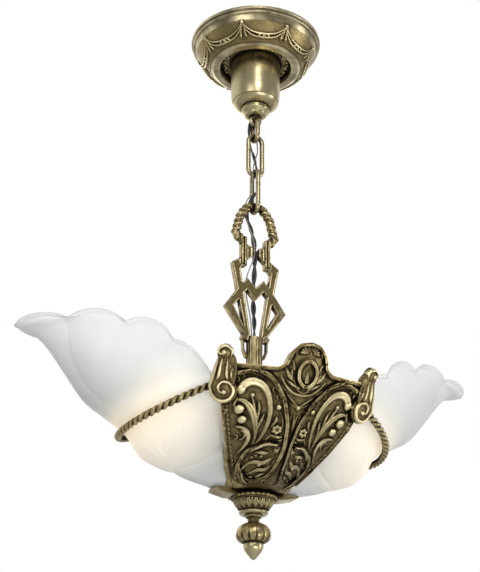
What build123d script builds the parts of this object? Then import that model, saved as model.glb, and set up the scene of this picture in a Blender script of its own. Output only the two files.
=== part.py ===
from build123d import *
import math
import os

os.makedirs("parts", exist_ok=True)

# Millimetres. The origin is on the hanging axis at the ceiling and +Z is up.
# The two shades lie towards -X (left) and +X (right), and the front faces -Y.

# Canopy against the ceiling
CANOPY_RADIUS = 66.7
CANOPY_DEPTH = 31.0
CANOPY_WALL = 1.8
CANOPY_LIP_RADIUS = 43.3
CANOPY_LIP_WIDTH = 6.4
RECESS_DEPTH = 7.0
RIM_HEIGHT = 7.0

# Strap that the outlet box screws hold
STRAP_LENGTH = 108.0
STRAP_WIDTH = 19.0
STRAP_THICKNESS = 1.6
STRAP_DROP = 0.6
BOX_SCREW_SPACING = 88.9
BOX_SCREW_SLOT_LENGTH = 14.0
BOX_SCREW_SLOT_RADIUS = 2.3

# Threaded tube used throughout, modelled smooth
TUBE_RADIUS = 4.85
TUBE_BORE = 3.6
NUT_FLATS = 15.9
NUT_HEIGHT = 3.0

# Bell under the canopy and the screw collar that holds it
BELL_RADIUS = 24.9
BELL_WALL = 1.4
BELL_LENGTH = 53.6
BELL_SHOULDER = 17.6
COLLAR_RADIUS = 14.2
COLLAR_HEIGHT = 10.4
COLLAR_CHAMBER_RADIUS = 8.0
COLLAR_CHAMBER_TOP = 2.0
COLLAR_FLOOR = 1.8
COLLAR_FOOT = 7.6
EYE_RADIUS = 4.8
EYE_WIRE = 3.8
EYE_DROP = 4.3

# Chain
LINK_WIRE = 4.7
LINK_WIDTH = 19.5
FIRST_LINK_WIDTH = 17.0
FIRST_LINK_LENGTH = 27.4
LINK_LENGTH = 50.0
LINK_BUTT_GAP = 0.35
CONTACT_GAP = 0.04

# Pierced stem hanger
ROPE_RADIUS = 3.75
STEM_THICKNESS = 5.5
COLUMN_RIB_RADIUS = 1.35
SOCKET_RADIUS = 7.0
SOCKET_LENGTH = 28.0
SOCKET_BORE = 3.6
SOCKET_FLUTES = 14
SOCKET_FLUTE_RADIUS = 0.95

# Cast body, as levels from the floor up: height, prow, edge out and edge forward
BODY_LEVELS = [
    (-476.0, 27.0, 24.0, 12.0),
    (-469.0, 48.0, 31.0, 21.0),
    (-462.0, 58.0, 37.0, 30.0),
    (-446.0, 73.0, 48.0, 52.0),
    (-429.0, 86.0, 58.0, 69.0),
    (-409.0, 102.0, 65.5, 83.0),
    (-390.0, 114.0, 69.0, 92.0),
    (-372.0, 118.0, 71.0, 98.0),
]
BODY_WALL = 3.2
BODY_FLOOR_TOP = -469.5
BODY_BASE = -477.5
BODY_RIM = -393.2
CREST_PATH = [
    (-42.0, -395.6, 12.0), (-25.0, -396.4, 8.0), (-19.6, -393.0, 4.0),
    (-16.8, -384.5, 8.0), (-9.5, -377.2, 6.0),
]
CREST_TOP = -376.3
OVAL_WIDTH = 9.4
OVAL_HEIGHT = 12.0
OVAL_BAND = 2.6
OVAL_PROUD = 2.0
OVAL_SINK = 4.5
OVAL_CENTRE = (0.0, -108.4, -400.0)
LEDGE_REACH = 40.5
LEDGE_TOP = -475.2
LEDGE_HALF_WIDTH = 9.0
WAY_FOOT = 12.0
RIB_HEIGHT = 2.2
RIB_WIDTH = 2.6
EDGE_RAIL_RADIUS = 1.9
RIB_PATH = [
    (56.0, -402.5), (39.0, -398.5), (25.0, -406.5), (13.0, -420.0), (5.2, -436.0), (2.6, -453.0),
    (5.0, -472.5), (20.0, -473.5), (31.5, -464.0), (31.0, -455.0), (17.3, -449.4), (7.5, -451.5),
]
WAY_START = 20.0
VOLUTE_RADIUS = 10.2
VOLUTE_CENTRE = (63.6, -82.0, -414.5)
VOLUTE_BAND = 2.0
VOLUTE_PROUD = 1.4
VOLUTE_DEPTH = 4.6
CURL_BAND = 6.0
CURL_DEPTH = 6.0
CURL_PATH = [(-5.5, 5.0), (-8.0, 14.0), (-8.6, 24.5), (-3.6, 30.8), (1.6, 30.4), (1.0, 27.6)]
CURL_EYE = (-1.4, 28.2)

# Rope rings that hold the shades
RING_RADIUS = 72.3
RING_ROPE = 3.4
RING_TILT = 26.6
RING_CENTRE_X = 58.3
RING_CENTRE_Z = -401.6
RING_END = 4.9
LUG_LENGTH = 13.4
SHADE_CLEARANCE = 0.8

# Glass shades
GLASS_WALL = 3.0
GLASS_POINTS = 13
# Everything above the glass rim in the front view: three lobes and a blunt beak
GLASS_RIM = [
    (40.0, -417.0), (60.0, -404.0, 6.0), (68.0, -395.5, 8.0), (75.0, -388.5, 8.0), (84.0, -379.0, 8.0),
    (95.0, -371.5, 5.0), (103.5, -369.8, 1.5), (110.5, -359.5, 7.0), (121.0, -352.8, 6.0),
    (131.0, -351.0, 6.0),
    (142.5, -355.5, 1.5), (150.0, -348.5, 6.0), (165.0, -344.0, 9.0), (177.0, -346.0, 6.0),
    (187.5, -352.8, 1.5),
    (198.0, -348.5, 6.0), (213.0, -348.0, 6.0), (221.5, -350.5, 4.0), (225.5, -355.0, 2.5), (226.0, -362.0),
    (250.0, -362.0), (250.0, -300.0), (40.0, -300.0),
]

# Cup, check ring and finial under the body
CUP_RADIUS = 19.3
CUP_HEIGHT = 13.7
CUP_FOOT_RADIUS = 12.0
BEAD_RADIUS = 1.7
CHECK_RADIUS = 13.3
CHECK_HEIGHT = 6.0
NECK_RADIUS = 5.6
KNOB_RADIUS = 15.4
KNOB_HEIGHT = 16.4
KNOB_FLUTES = 14
KNOB_FLUTE_RADIUS = 1.0
TIP_RADIUS = 8.9
TIP_LENGTH = 14.9

# Hub and lampholders
HUB_HEIGHT = -438.0
HUB_RADIUS = 17.0
HUB_DEPTH = 26.0
HUB_WALL = 3.0
LAMP_ANGLE = 25.0
CAP_START = 19.0
CAP_LENGTH = 13.0
HOLDER_RADIUS = 17.0
HOLDER_END = 64.0
HOLDER_WALL = 0.7
LINER_WALL = 0.8
BASE_RADIUS = 13.1
BASE_START = 39.0
BASE_LENGTH = 23.0
BASE_CLEARANCE = 0.06
SCREW_SHELL_WALL = 0.5
BULB_RADIUS = 23.8
BULB_LENGTH = 60.0

# Leads
LEAD_RADIUS = 1.6
GROUND_RADIUS = 0.7
WAY_CLEARANCE = 0.8
LEAD_WAY = (-3.2, 3.7)
GROUND_WAY = (3.4, 3.4)
TUBE_GRIP = 14.0

# Heights that follow from the sizes above
RECESS_FLOOR = -(CANOPY_DEPTH - RECESS_DEPTH)
BELL_BOTTOM = RECESS_FLOOR - BELL_LENGTH
COLLAR_BOTTOM = BELL_BOTTOM - COLLAR_HEIGHT
EYE_CENTRE = COLLAR_BOTTOM - EYE_DROP
EYE_SEAT = EYE_CENTRE - EYE_RADIUS + EYE_WIRE / 2
LINK_1_TOP = EYE_SEAT + CONTACT_GAP + LINK_WIRE
LINK_1_SEAT = LINK_1_TOP - FIRST_LINK_LENGTH + LINK_WIRE
LINK_2_TOP = LINK_1_SEAT + CONTACT_GAP + LINK_WIRE
LINK_2_SEAT = LINK_2_TOP - LINK_LENGTH + LINK_WIRE
LINK_3_TOP = LINK_2_SEAT + CONTACT_GAP + LINK_WIRE
LINK_3_SEAT = LINK_3_TOP - LINK_LENGTH + LINK_WIRE
ARCH_TOP = LINK_3_SEAT + CONTACT_GAP + ROPE_RADIUS
CUP_BOTTOM = BODY_BASE - CUP_HEIGHT
CHECK_BOTTOM = CUP_BOTTOM - CHECK_HEIGHT
SOCKET_TOP = ARCH_TOP - 138.6
HUB_TOP = HUB_HEIGHT + HUB_DEPTH / 2


def at(x, z, y=0.0):
    """A point given across, up and, where needed, back."""
    return (x, y, z)


def outline(points):
    """Flat face in the front view from (across, up) or (across, up, corner radius) points."""
    corners = [at(p[0], p[1]) for p in points]
    radii = [p[2] if len(p) > 2 else 0.0 for p in points]
    return make_face(FilletPolyline(*corners, radius=radii, close=True).edges())


def turned(points):
    """Solid of revolution about the hanging axis from (radius, height) points."""
    return revolve(outline(points), Axis.Z, 360)


def plate(points, thickness):
    """Flat front-view shape with its thickness shared between front and back."""
    return extrude(outline(points), amount=thickness / 2, both=True)


def rod_along(path, radius):
    """Round rod along a path."""
    start = Plane(origin=path @ 0, z_dir=path % 0)
    return sweep(start * Circle(radius), path=path)


def both_sides(shape):
    """The shape and its mirror image across the centre, left and right."""
    return shape + mirror(shape, Plane.YZ)


def front_and_back(shape):
    """The shape and its mirror image across the centre, front and back."""
    return shape + mirror(shape, Plane.XZ)


def save(shape, name):
    """Write one named piece."""
    shape.label = name
    export_step(shape, f"parts/{name}.step")


def make_canopy():
    """Cast dome with a moulded rim, a raised flat lip and a recess for the bell."""
    edge = CANOPY_RADIUS
    lip = CANOPY_LIP_RADIUS
    floor = RECESS_FLOOR
    inner = lip - CANOPY_LIP_WIDTH
    wall = CANOPY_WALL
    return turned([
        (edge - 2 * wall, 0.0),
        (edge, 0.0),
        (edge, -0.36 * RIM_HEIGHT, 0.9),
        (edge - 1.5, -0.46 * RIM_HEIGHT, 0.4),
        (edge - 1.2, -0.85 * RIM_HEIGHT, 1.0),
        (edge - 3.9, -RIM_HEIGHT, 0.5),
        (edge - 6.5, -0.42 * CANOPY_DEPTH, 9.0),
        (lip + 9.5, -0.78 * CANOPY_DEPTH, 12.0),
        (lip + 2.4, 1.6 - CANOPY_DEPTH, 2.0),
        (lip, -CANOPY_DEPTH, 0.8),
        (inner, -CANOPY_DEPTH, 1.2),
        (inner - 1.0, floor, 0.8),
        (TUBE_RADIUS, floor),
        (TUBE_RADIUS, floor + wall),
        (inner - 1.0 - wall, floor + wall, 1.0),
        (inner - 0.6, wall - CANOPY_DEPTH, 1.0),
        (lip - 0.4, wall - CANOPY_DEPTH, 1.5),
        (lip + 8.3, 1.6 - 0.78 * CANOPY_DEPTH, 11.0),
        (edge - 8.5, wall - 0.42 * CANOPY_DEPTH, 8.0),
        (edge - 5.8, wall - RIM_HEIGHT, 1.0),
        (edge - 2 * wall, -0.42 * RIM_HEIGHT, 1.0),
    ])


def make_strap():
    """Flat strap with two screw slots and a threaded centre hole."""
    top = -STRAP_DROP
    middle = top - STRAP_THICKNESS / 2
    bar = Pos(0, 0, middle) * Box(STRAP_LENGTH, STRAP_WIDTH, STRAP_THICKNESS)
    bar = fillet(bar.edges().filter_by(Axis.Z), radius=4.0)
    slot = extrude(
        SlotOverall(BOX_SCREW_SLOT_LENGTH, 2 * BOX_SCREW_SLOT_RADIUS), amount=3 * STRAP_THICKNESS, both=True
    )
    for side in (-1, 1):
        bar -= Pos(side * BOX_SCREW_SPACING / 2, 0, middle) * slot
    bar -= Pos(0, 0, middle) * Cylinder(TUBE_RADIUS, 3 * STRAP_THICKNESS)
    return bar


def hex_nut(top):
    """Lock nut with its upper face at the given height."""
    blank = extrude(RegularPolygon(NUT_FLATS / 2, 6, major_radius=False), amount=-NUT_HEIGHT)
    return Pos(0, 0, top) * (blank - Cylinder(TUBE_RADIUS, 3 * NUT_HEIGHT))


def tube(top, bottom):
    """Hollow threaded tube between two heights."""
    length = top - bottom
    ring = Cylinder(TUBE_RADIUS, length) - Cylinder(TUBE_BORE, 2 * length)
    return Pos(0, 0, (top + bottom) / 2) * ring


def make_bell():
    """Smooth cup with a groove above its rounded shoulder."""
    top = RECESS_FLOOR
    bottom = BELL_BOTTOM
    turn = bottom + BELL_SHOULDER
    groove = bottom + 0.36 * BELL_SHOULDER
    radius = BELL_RADIUS
    wall = BELL_WALL
    outer = [
        Line(at(radius - wall, top), at(radius, top)),
        Line(at(radius, top), at(radius, turn)),
        ThreePointArc(
            at(radius, turn), at(radius - 0.35, (turn + groove) / 2 + 0.6), at(radius - 1.5, groove)
        ),
        Line(at(radius - 1.5, groove), at(radius - 2.1, groove - 0.3)),
        Line(at(radius - 2.1, groove - 0.3), at(radius - 1.9, groove - 0.8)),
        ThreePointArc(
            at(radius - 1.9, groove - 0.8), at(radius - 5.2, bottom + 1.9), at(COLLAR_RADIUS + 0.3, bottom)
        ),
        Line(at(COLLAR_RADIUS + 0.3, bottom), at(TUBE_RADIUS, bottom)),
        Line(at(TUBE_RADIUS, bottom), at(TUBE_RADIUS, bottom + wall)),
        Line(at(TUBE_RADIUS, bottom + wall), at(COLLAR_RADIUS - 0.4, bottom + wall)),
        ThreePointArc(
            at(COLLAR_RADIUS - 0.4, bottom + wall),
            at(radius - 5.4, bottom + wall + 2.9),
            at(radius - wall, turn),
        ),
        Line(at(radius - wall, turn), at(radius - wall, top)),
    ]
    return revolve(make_face(outer), Axis.Z, 360)


def make_screw_collar():
    """Stepped collar on the tube's end, with a wire way and a small round eye."""
    top = BELL_BOTTOM
    bottom = COLLAR_BOTTOM
    chamber_top = top - COLLAR_CHAMBER_TOP
    chamber_floor = bottom + COLLAR_FLOOR
    collar = turned([
        (TUBE_RADIUS, top),
        (COLLAR_RADIUS - 0.6, top),
        (COLLAR_RADIUS, top - 0.9, 0.5),
        (COLLAR_RADIUS, top - 4.6, 1.5),
        (0.77 * COLLAR_RADIUS, top - 7.9, 0.6),
        (0.74 * COLLAR_RADIUS, bottom + 1.0, 0.6),
        (COLLAR_FOOT, bottom, 0.5),
        (0.0, bottom),
        (0.0, chamber_floor),
        (COLLAR_CHAMBER_RADIUS, chamber_floor),
        (COLLAR_CHAMBER_RADIUS, chamber_top),
        (TUBE_RADIUS, chamber_top),
    ])
    eye = Pos(0, 0, EYE_CENTRE) * Rot(90, 0, 0) * Torus(EYE_RADIUS, EYE_WIRE / 2)
    collar += eye & Pos(0, 0, chamber_floor - 25.0) * Box(50, 50, 50)
    lead = (LEAD_WAY[0], LEAD_WAY[1], LEAD_RADIUS)
    ground = (GROUND_WAY[0], GROUND_WAY[1], GROUND_RADIUS)
    for x, y, radius in (lead, ground):
        collar -= Pos(x, y, bottom) * Cylinder(radius + WAY_CLEARANCE, 4 * COLLAR_FLOOR)
    return collar


def make_link(top, length, width, butt_drop):
    """Bent wire link in the front view, its butt ends meeting on the left side."""
    half = (width - LINK_WIRE) / 2
    high = top - width / 2
    low = top - length + width / 2
    butt = top - butt_drop
    path = Line(at(-half, butt - LINK_BUTT_GAP / 2), at(-half, low))
    path += ThreePointArc(at(-half, low), at(0, low - half), at(half, low))
    path += Line(at(half, low), at(half, high))
    path += ThreePointArc(at(half, high), at(0, high + half), at(-half, high))
    path += Line(at(-half, high), at(-half, butt + LINK_BUTT_GAP / 2))
    return rod_along(Wire(path.edges()), LINK_WIRE / 2)


def make_stem():
    """Pierced hanger: rope arch, ribbed columns, rails, M, side chevrons and fluted socket."""
    top = ARCH_TOP
    half = STEM_THICKNESS
    arch = FilletPolyline(
        at(-12.8, top - 39.5), at(-20.7, top - 33.5), at(-15.4, top - 11.8), at(-6.0, top),
        at(6.0, top), at(15.4, top - 11.8), at(20.7, top - 33.5), at(12.8, top - 39.5),
        radius=[3.9, 16.0, 8.5, 8.5, 16.0, 3.9],
    )
    stem = rod_along(arch, ROPE_RADIUS)
    column = plate([
        (-15.1, top - 35.5, 1.5), (-9.3, top - 35.5, 1.5), (-9.3, top - 43.5), (-3.1, top - 46.2),
        (-3.1, top - 54.8), (-9.3, top - 60.6), (-9.3, top - 66.4, 0.8), (-12.3, top - 67.2, 0.8),
        (-15.1, top - 66.0),
    ], half)
    for across in (-13.6, -10.7):
        for front in (-1, 1):
            rib = Pos(across, front * STEM_THICKNESS / 2, top - 50.8) * Cylinder(COLUMN_RIB_RADIUS, 29.0)
            column += rib
    rail = plate([
        (-15.2, top - 58.4), (-24.4, top - 64.6, 0.8), (-9.6, top - 139.2), (-4.9, top - 139.2),
        (-15.6, top - 70.5), (-12.6, top - 66.5),
    ], half)
    chevron = plate([
        (-18.6, top - 91.2), (-31.2, top - 110.2), (-10.8, top - 138.2), (-8.6, top - 134.0),
        (-22.3, top - 109.6), (-16.0, top - 101.2),
    ], half)
    letter = plate([
        (-8.2, top - 78.9), (0.0, top - 88.0), (0.0, top - 100.9), (-8.4, top - 91.2),
        (-12.0, top - 95.2), (-14.4, top - 86.0),
    ], half)
    stem += both_sides(column + rail + chevron + letter)
    head = SOCKET_TOP
    foot = head - SOCKET_LENGTH
    socket = Pos(0, 0, (head + foot) / 2) * Cylinder(SOCKET_RADIUS, SOCKET_LENGTH)
    middle = (head + foot) / 2 - 1.0
    flute = Pos(SOCKET_RADIUS - 0.25, 0, middle) * Cylinder(SOCKET_FLUTE_RADIUS, SOCKET_LENGTH - 2.0)
    for step in range(SOCKET_FLUTES):
        socket += Rot(0, 0, 360 * (step + 0.5) / SOCKET_FLUTES) * flute
    scroll = Pos(-11.4, 0, head - 0.6) * Rot(90, 0, 0) * Cylinder(2.7, STEM_THICKNESS + 0.8)
    strip = plate([
        (-12.9, head - 1.0), (-11.2, head - 1.0), (-10.9, head - 12.0), (-8.6, head - 17.8),
        (-6.0, head - 17.8), (-6.0, head - 20.6), (-9.6, head - 19.6), (-12.5, head - 13.0),
    ], STEM_THICKNESS - 1.0)
    brace = plate([
        (-13.5, head + 1.4), (-4.0, head + 1.4), (-4.0, head - 4.0), (-9.0, head - 4.0),
    ], half)
    stem += socket + both_sides(scroll + strip + brace)
    stem -= Pos(0, 0, head) * Cylinder(SOCKET_BORE, 2 * SOCKET_LENGTH)
    stem -= Pos(0, 0, foot) * Cylinder(TUBE_RADIUS, 2 * TUBE_GRIP)
    return stem


def level_face(height, prow, out, forward):
    """Six-sided level of the body: prows front and back, straight sides left and right."""
    corners = [
        (0.0, -prow), (out, -forward), (out, forward), (0.0, prow), (-out, forward), (-out, -forward),
    ]
    return make_face(Polyline(*[(x, y, height) for x, y in corners], close=True).edges())


def body_block(grow_prow, grow_out, grow_forward, lift=0.0):
    """Solid bowl through the body's levels, grown or shrunk from the cast surface."""
    faces = [
        level_face(height + lift, prow + grow_prow, out + grow_out, forward + grow_forward)
        for height, prow, out, forward in BODY_LEVELS
    ]
    return loft(faces)


def shade_way():
    """Upright horseshoe that opens each side of the body, drawn looking along the arms."""
    rising = [(max(level[3] - BODY_WALL, 4.0), level[0]) for level in BODY_LEVELS[1:]]
    right = [(0.0, y, z) for y, z in rising]
    left = [(0.0, -y, z) for y, z in reversed(rising)]
    base = [(0.0, WAY_FOOT, LEDGE_TOP)]
    closing = [(0.0, -WAY_FOOT, LEDGE_TOP)]
    return make_face(Polyline(*(base + right + left + closing), close=True).edges())


def edge_point(level):
    """Corner where a front panel ends beside the right shade."""
    height, _, out, forward = level
    return (out, -forward + BODY_WALL / 2, height)


def volute_plane():
    """Where the front right volute sits, facing forward, down and outward."""
    return Plane(origin=VOLUTE_CENTRE, x_dir=(0.91, 0.40, -0.05), z_dir=(0.36, -0.83, -0.42))


def half_ring(centre, radius, side):
    """Half of a flat ring above (1) or below (-1) the line through its centre."""
    ring = Circle(radius + VOLUTE_BAND / 2) - Circle(radius - VOLUTE_BAND / 2)
    half = Pos(0, side * 2 * VOLUTE_RADIUS, 0) * Rectangle(100, 4 * VOLUTE_RADIUS)
    return Pos(centre, 0, 0) * (ring & half)


def make_volute():
    """Spiral scroll at a panel's corner, with the smaller curl that rises from it."""
    turn = VOLUTE_RADIUS - VOLUTE_BAND / 2
    disc = extrude(Circle(VOLUTE_RADIUS), amount=-VOLUTE_DEPTH)
    outer = half_ring(0.0, turn, -1) + half_ring(-0.2 * turn, 0.8 * turn, 1)
    spiral = outer + half_ring(0.1 * turn, 0.5 * turn, -1)
    eye = Pos(0.35 * turn, 0, 0) * Circle(0.25 * turn + VOLUTE_BAND / 2)
    scroll = extrude(spiral + eye, amount=VOLUTE_PROUD)
    path = FilletPolyline(*CURL_PATH, radius=[6.0, 6.0, 3.0, 1.4])
    curl = trace(path, CURL_BAND) + Pos(*CURL_EYE) * Circle(0.6 * CURL_BAND)
    stem = Pos(0, 0, -0.8 * VOLUTE_DEPTH) * extrude(curl, amount=CURL_DEPTH)
    return volute_plane() * (disc + scroll + stem)


def crest_outline():
    """Everything above the body's rim in the front view, leaving the crest between."""
    left = [(-95.0, BODY_RIM)] + CREST_PATH
    right = [(-point[0],) + point[1:] for point in reversed(left)]
    top = BODY_RIM + 60.0
    return outline(left + [(0.0, CREST_TOP)] + right + [(95.0, top), (-95.0, top)])


def panel_rib():
    """Teardrop rib on the right half of the front panel, curling back at its foot."""
    path = FilletPolyline(*RIB_PATH, radius=[12.0, 20.0, 20.0, 25.0, 20.0, 7.0, 8.0, 6.0, 6.0, 8.0])
    return Rot(90, 0, 0) * extrude(trace(path, RIB_WIDTH), amount=140.0)


def crest_oval():
    """Oval frame on the crest, with its sunken back."""
    place = Plane(origin=OVAL_CENTRE, x_dir=(1, 0, 0), z_dir=(0, -0.91, -0.41))
    ring = Ellipse(OVAL_WIDTH, OVAL_HEIGHT) - Ellipse(OVAL_WIDTH - OVAL_BAND, OVAL_HEIGHT - OVAL_BAND)
    frame = extrude(ring, amount=OVAL_SINK + OVAL_PROUD)
    back = extrude(Ellipse(OVAL_WIDTH - 1.0, OVAL_HEIGHT - 1.0), amount=OVAL_SINK)
    return place * (Pos(0, 0, -OVAL_SINK) * (frame + back))


def make_ledge():
    """Tongue under the floor that reaches out beneath each shade's foot."""
    reach = LEDGE_REACH
    top = LEDGE_TOP
    ledge = plate([
        (-reach, top, 0.5), (reach, top, 0.5), (reach - 0.5, top - 1.8, 0.6),
        (26.0, top - 5.0, 4.0), (-26.0, top - 5.0, 4.0), (0.5 - reach, top - 1.8, 0.6),
    ], 2 * LEDGE_HALF_WIDTH)
    return ledge & Pos(0, 0, top) * Cylinder(reach, 40.0)


def make_body():
    """Cast body: two bowed panels, crest, ribs, volutes, shade openings and ledges."""
    corner = Pos(200.0, -200.0, BODY_RIM) * Box(400, 400, 400)
    way = Pos(WAY_START, 0, 0) * extrude(shade_way(), dir=(1, 0, 0), amount=90.0)
    above = crest_outline()
    block = body_block(0.0, 0.0, 0.0)
    hollow = body_block(-1.5 * BODY_WALL, -1.5, -BODY_WALL)
    hollow &= Pos(0, 0, BODY_FLOOR_TOP + 100) * Box(400, 400, 200)
    quarter = (block & corner) - hollow - way
    quarter -= extrude(above, amount=150.0, both=True)
    skin = (body_block(RIB_HEIGHT * 1.3, RIB_HEIGHT, RIB_HEIGHT) & corner) - block - way
    moulding = extrude(offset(above, RIB_WIDTH) - above, amount=150.0, both=True)
    under_volute = [0.6 * low + 0.4 * high for low, high in zip(BODY_LEVELS[4], BODY_LEVELS[5])]
    corners = [edge_point(level) for level in BODY_LEVELS[1:5] + [under_volute]]
    rail = rod_along(FilletPolyline(*corners, radius=[9.0, 9.0, 5.0]), EDGE_RAIL_RADIUS)
    quarter += (skin & panel_rib()) + (skin & moulding) + (crest_oval() & corner)
    quarter += make_volute()
    quarter += rail
    body = front_and_back(both_sides(quarter)) + make_ledge()
    seat = CUP_RADIUS + BEAD_RADIUS + 0.4
    body -= Pos(0, 0, BODY_BASE - 20.0) * Cylinder(seat, 40.0)
    return body - Pos(0, 0, BODY_BASE) * Cylinder(TUBE_RADIUS, 40.0)


def ring_plane():
    """Tilted plane of the right rope ring, low on its outer side."""
    tilt = math.radians(RING_TILT)
    return Plane(
        origin=(RING_CENTRE_X, 0, RING_CENTRE_Z),
        x_dir=(math.cos(tilt), 0, -math.sin(tilt)),
        z_dir=(math.sin(tilt), 0, math.cos(tilt)),
    )


def make_ring(body):
    """Right rope ring: a half circle with a lug at each end that butts against the panel."""
    half = math.sqrt(RING_RADIUS ** 2 - RING_END ** 2)
    arc = ThreePointArc((RING_END, -half, 0), (RING_RADIUS, 0, 0), (RING_END, half, 0))
    rope = rod_along(arc, RING_ROPE)
    middle = 1.0 - half - LUG_LENGTH / 2
    lug = Pos(RING_END, middle, 0) * Rot(90, 0, 0) * Cylinder(RING_ROPE - 0.2, LUG_LENGTH)
    return (ring_plane() * (rope + front_and_back(lug))) - body


# Levels of the glass, from the foot up: back edge (x, z), outermost line (x, z),
# half width, and roundness, where 2 is an ellipse and less is more pointed
RING_IN = RING_RADIUS - RING_ROPE - SHADE_CLEARANCE
GLASS_LEVELS = [
    ((31.0, -474.9), (44.6, -474.9), 6.5, 2.0),
    ((31.0, -471.5), (58.0, -472.2), 12.0, 2.0),
    ((33.0, -468.0), (70.0, -468.4), 16.0, 2.0),
    ((36.0, -463.0), (83.5, -464.2), 20.5, 2.0),
    ((41.0, -455.0), (98.0, -458.4), 30.0, 2.0),
    ((48.0, -440.0), (108.8, -449.0), 47.0, 2.0),
    ((58.0, -401.4), (None, None), RING_IN, 2.0),
    ((61.0, -393.0), (140.5, -420.6), 67.0, 1.9),
    ((64.0, -386.0), (161.0, -408.8), 69.5, 1.8),
    ((67.0, -376.0), (178.0, -390.4), 71.5, 1.7),
    ((70.0, -362.0), (193.0, -372.0), 72.0, 1.6),
    ((72.0, -348.0), (206.5, -360.0), 71.0, 1.55),
    ((74.0, -335.0), (221.0, -357.0), 68.5, 1.5),
    ((75.0, -322.0), (231.5, -347.5), 66.0, 1.5),
]


def glass_levels():
    """The levels, with the one inside the rope ring worked out from the ring."""
    tilt = math.radians(RING_TILT)
    waist = (RING_CENTRE_X + RING_IN * math.cos(tilt), RING_CENTRE_Z - RING_IN * math.sin(tilt))
    return [
        (back, waist if front[0] is None else front, half, round_)
        for back, front, half, round_ in GLASS_LEVELS
    ]


def glass_face(back, front, half, roundness):
    """One level of the glass, closed across its open back by a straight line."""
    points = []
    for step in range(GLASS_POINTS):
        angle = math.pi * step / (GLASS_POINTS - 1)
        out = math.sin(angle) ** (2 / roundness) if 0 < step < GLASS_POINTS - 1 else 0.0
        side = -math.copysign(abs(math.cos(angle)) ** (2 / roundness), math.cos(angle))
        points.append((
            back[0] + (front[0] - back[0]) * out,
            half * side,
            back[1] + (front[1] - back[1]) * out,
        ))
    curve = Spline(*points)
    return make_face(curve.edges() + Line(points[-1], points[0]).edges())


def make_glass():
    """Right shade: a blown scoop with an open back and mouth and a lobed, beaked rim."""
    levels = glass_levels()
    outer = loft([glass_face(*level) for level in levels])
    faces = []
    for number, (back, front, half, roundness) in enumerate(levels):
        low = levels[max(number - 1, 0)][1]
        high = levels[min(number + 1, len(levels) - 1)][1]
        run = math.hypot(high[0] - low[0], high[1] - low[1])
        inward = (-(high[1] - low[1]) / run, (high[0] - low[0]) / run)
        shift = (front[0] + GLASS_WALL * inward[0], front[1] + GLASS_WALL * inward[1])
        behind = (back[0] - 9.0, back[1] + (3.0 if number < 4 else 0.5))
        if number > 0:
            faces.append(glass_face(behind, shift, half - GLASS_WALL, roundness))
    inner = loft(faces)
    shell = outer - inner
    return shell - extrude(outline(GLASS_RIM), amount=120.0, both=True)


def make_cup():
    """Tapering cup with a round moulding at its top."""
    top = BODY_BASE
    bottom = CUP_BOTTOM
    cup = turned([
        (TUBE_RADIUS, top),
        (CUP_RADIUS - 0.8, top, 0.3),
        (CUP_RADIUS - 1.0, top - 4.2, 1.0),
        (0.78 * CUP_RADIUS, top - 0.62 * CUP_HEIGHT, 9.0),
        (CUP_FOOT_RADIUS, bottom + 0.4, 0.4),
        (CUP_FOOT_RADIUS - 0.6, bottom),
        (TUBE_RADIUS, bottom),
    ])
    return cup + Pos(0, 0, top - 2.1) * Torus(CUP_RADIUS - 0.9, BEAD_RADIUS)


def make_check_ring():
    """Rounded collar and a smaller step that clamp the cup."""
    top = CUP_BOTTOM
    return turned([
        (TUBE_RADIUS, top),
        (CHECK_RADIUS - 0.9, top, 0.5),
        (CHECK_RADIUS, top - 1.7, 1.0),
        (CHECK_RADIUS - 1.6, top - 3.4, 0.8),
        (0.57 * CHECK_RADIUS, top - 3.6),
        (0.57 * CHECK_RADIUS, CHECK_BOTTOM + 0.8, 0.7),
        (0.5 * CHECK_RADIUS, CHECK_BOTTOM, 0.3),
        (TUBE_RADIUS, CHECK_BOTTOM),
    ])


def make_knob():
    """Gadrooned knob with its neck and the stud that goes up inside the tube."""
    top = CHECK_BOTTOM
    wide = top - 0.87 * KNOB_HEIGHT
    low = top - 1.32 * KNOB_HEIGHT
    stud = TUBE_BORE - 0.1
    edges = [
        Line(at(0, top + 7.0), at(stud, top + 7.0)),
        Line(at(stud, top + 7.0), at(stud, top)),
        Line(at(stud, top), at(NECK_RADIUS, top)),
        ThreePointArc(
            at(NECK_RADIUS, top), at(NECK_RADIUS - 0.5, top - 2.6), at(NECK_RADIUS + 0.5, top - 5.0)
        ),
        ThreePointArc(
            at(NECK_RADIUS + 0.5, top - 5.0), at(0.87 * KNOB_RADIUS, top - 8.6), at(KNOB_RADIUS, wide)
        ),
        ThreePointArc(at(KNOB_RADIUS, wide), at(0.86 * KNOB_RADIUS, low + 1.6), at(TIP_RADIUS, low)),
        Line(at(TIP_RADIUS, low), at(0, low)),
        Line(at(0, low), at(0, top + 7.0)),
    ]
    knob = revolve(make_face(edges), Axis.Z, 360)
    groove = ThreePointArc(
        at(NECK_RADIUS + 1.6, top - 4.6), at(KNOB_RADIUS + 0.5, wide), at(TIP_RADIUS + 0.6, low - 0.8)
    )
    cutter = rod_along(groove, KNOB_FLUTE_RADIUS)
    for step in range(KNOB_FLUTES):
        knob -= Rot(0, 0, 360 * step / KNOB_FLUTES) * cutter
    return knob


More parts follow.
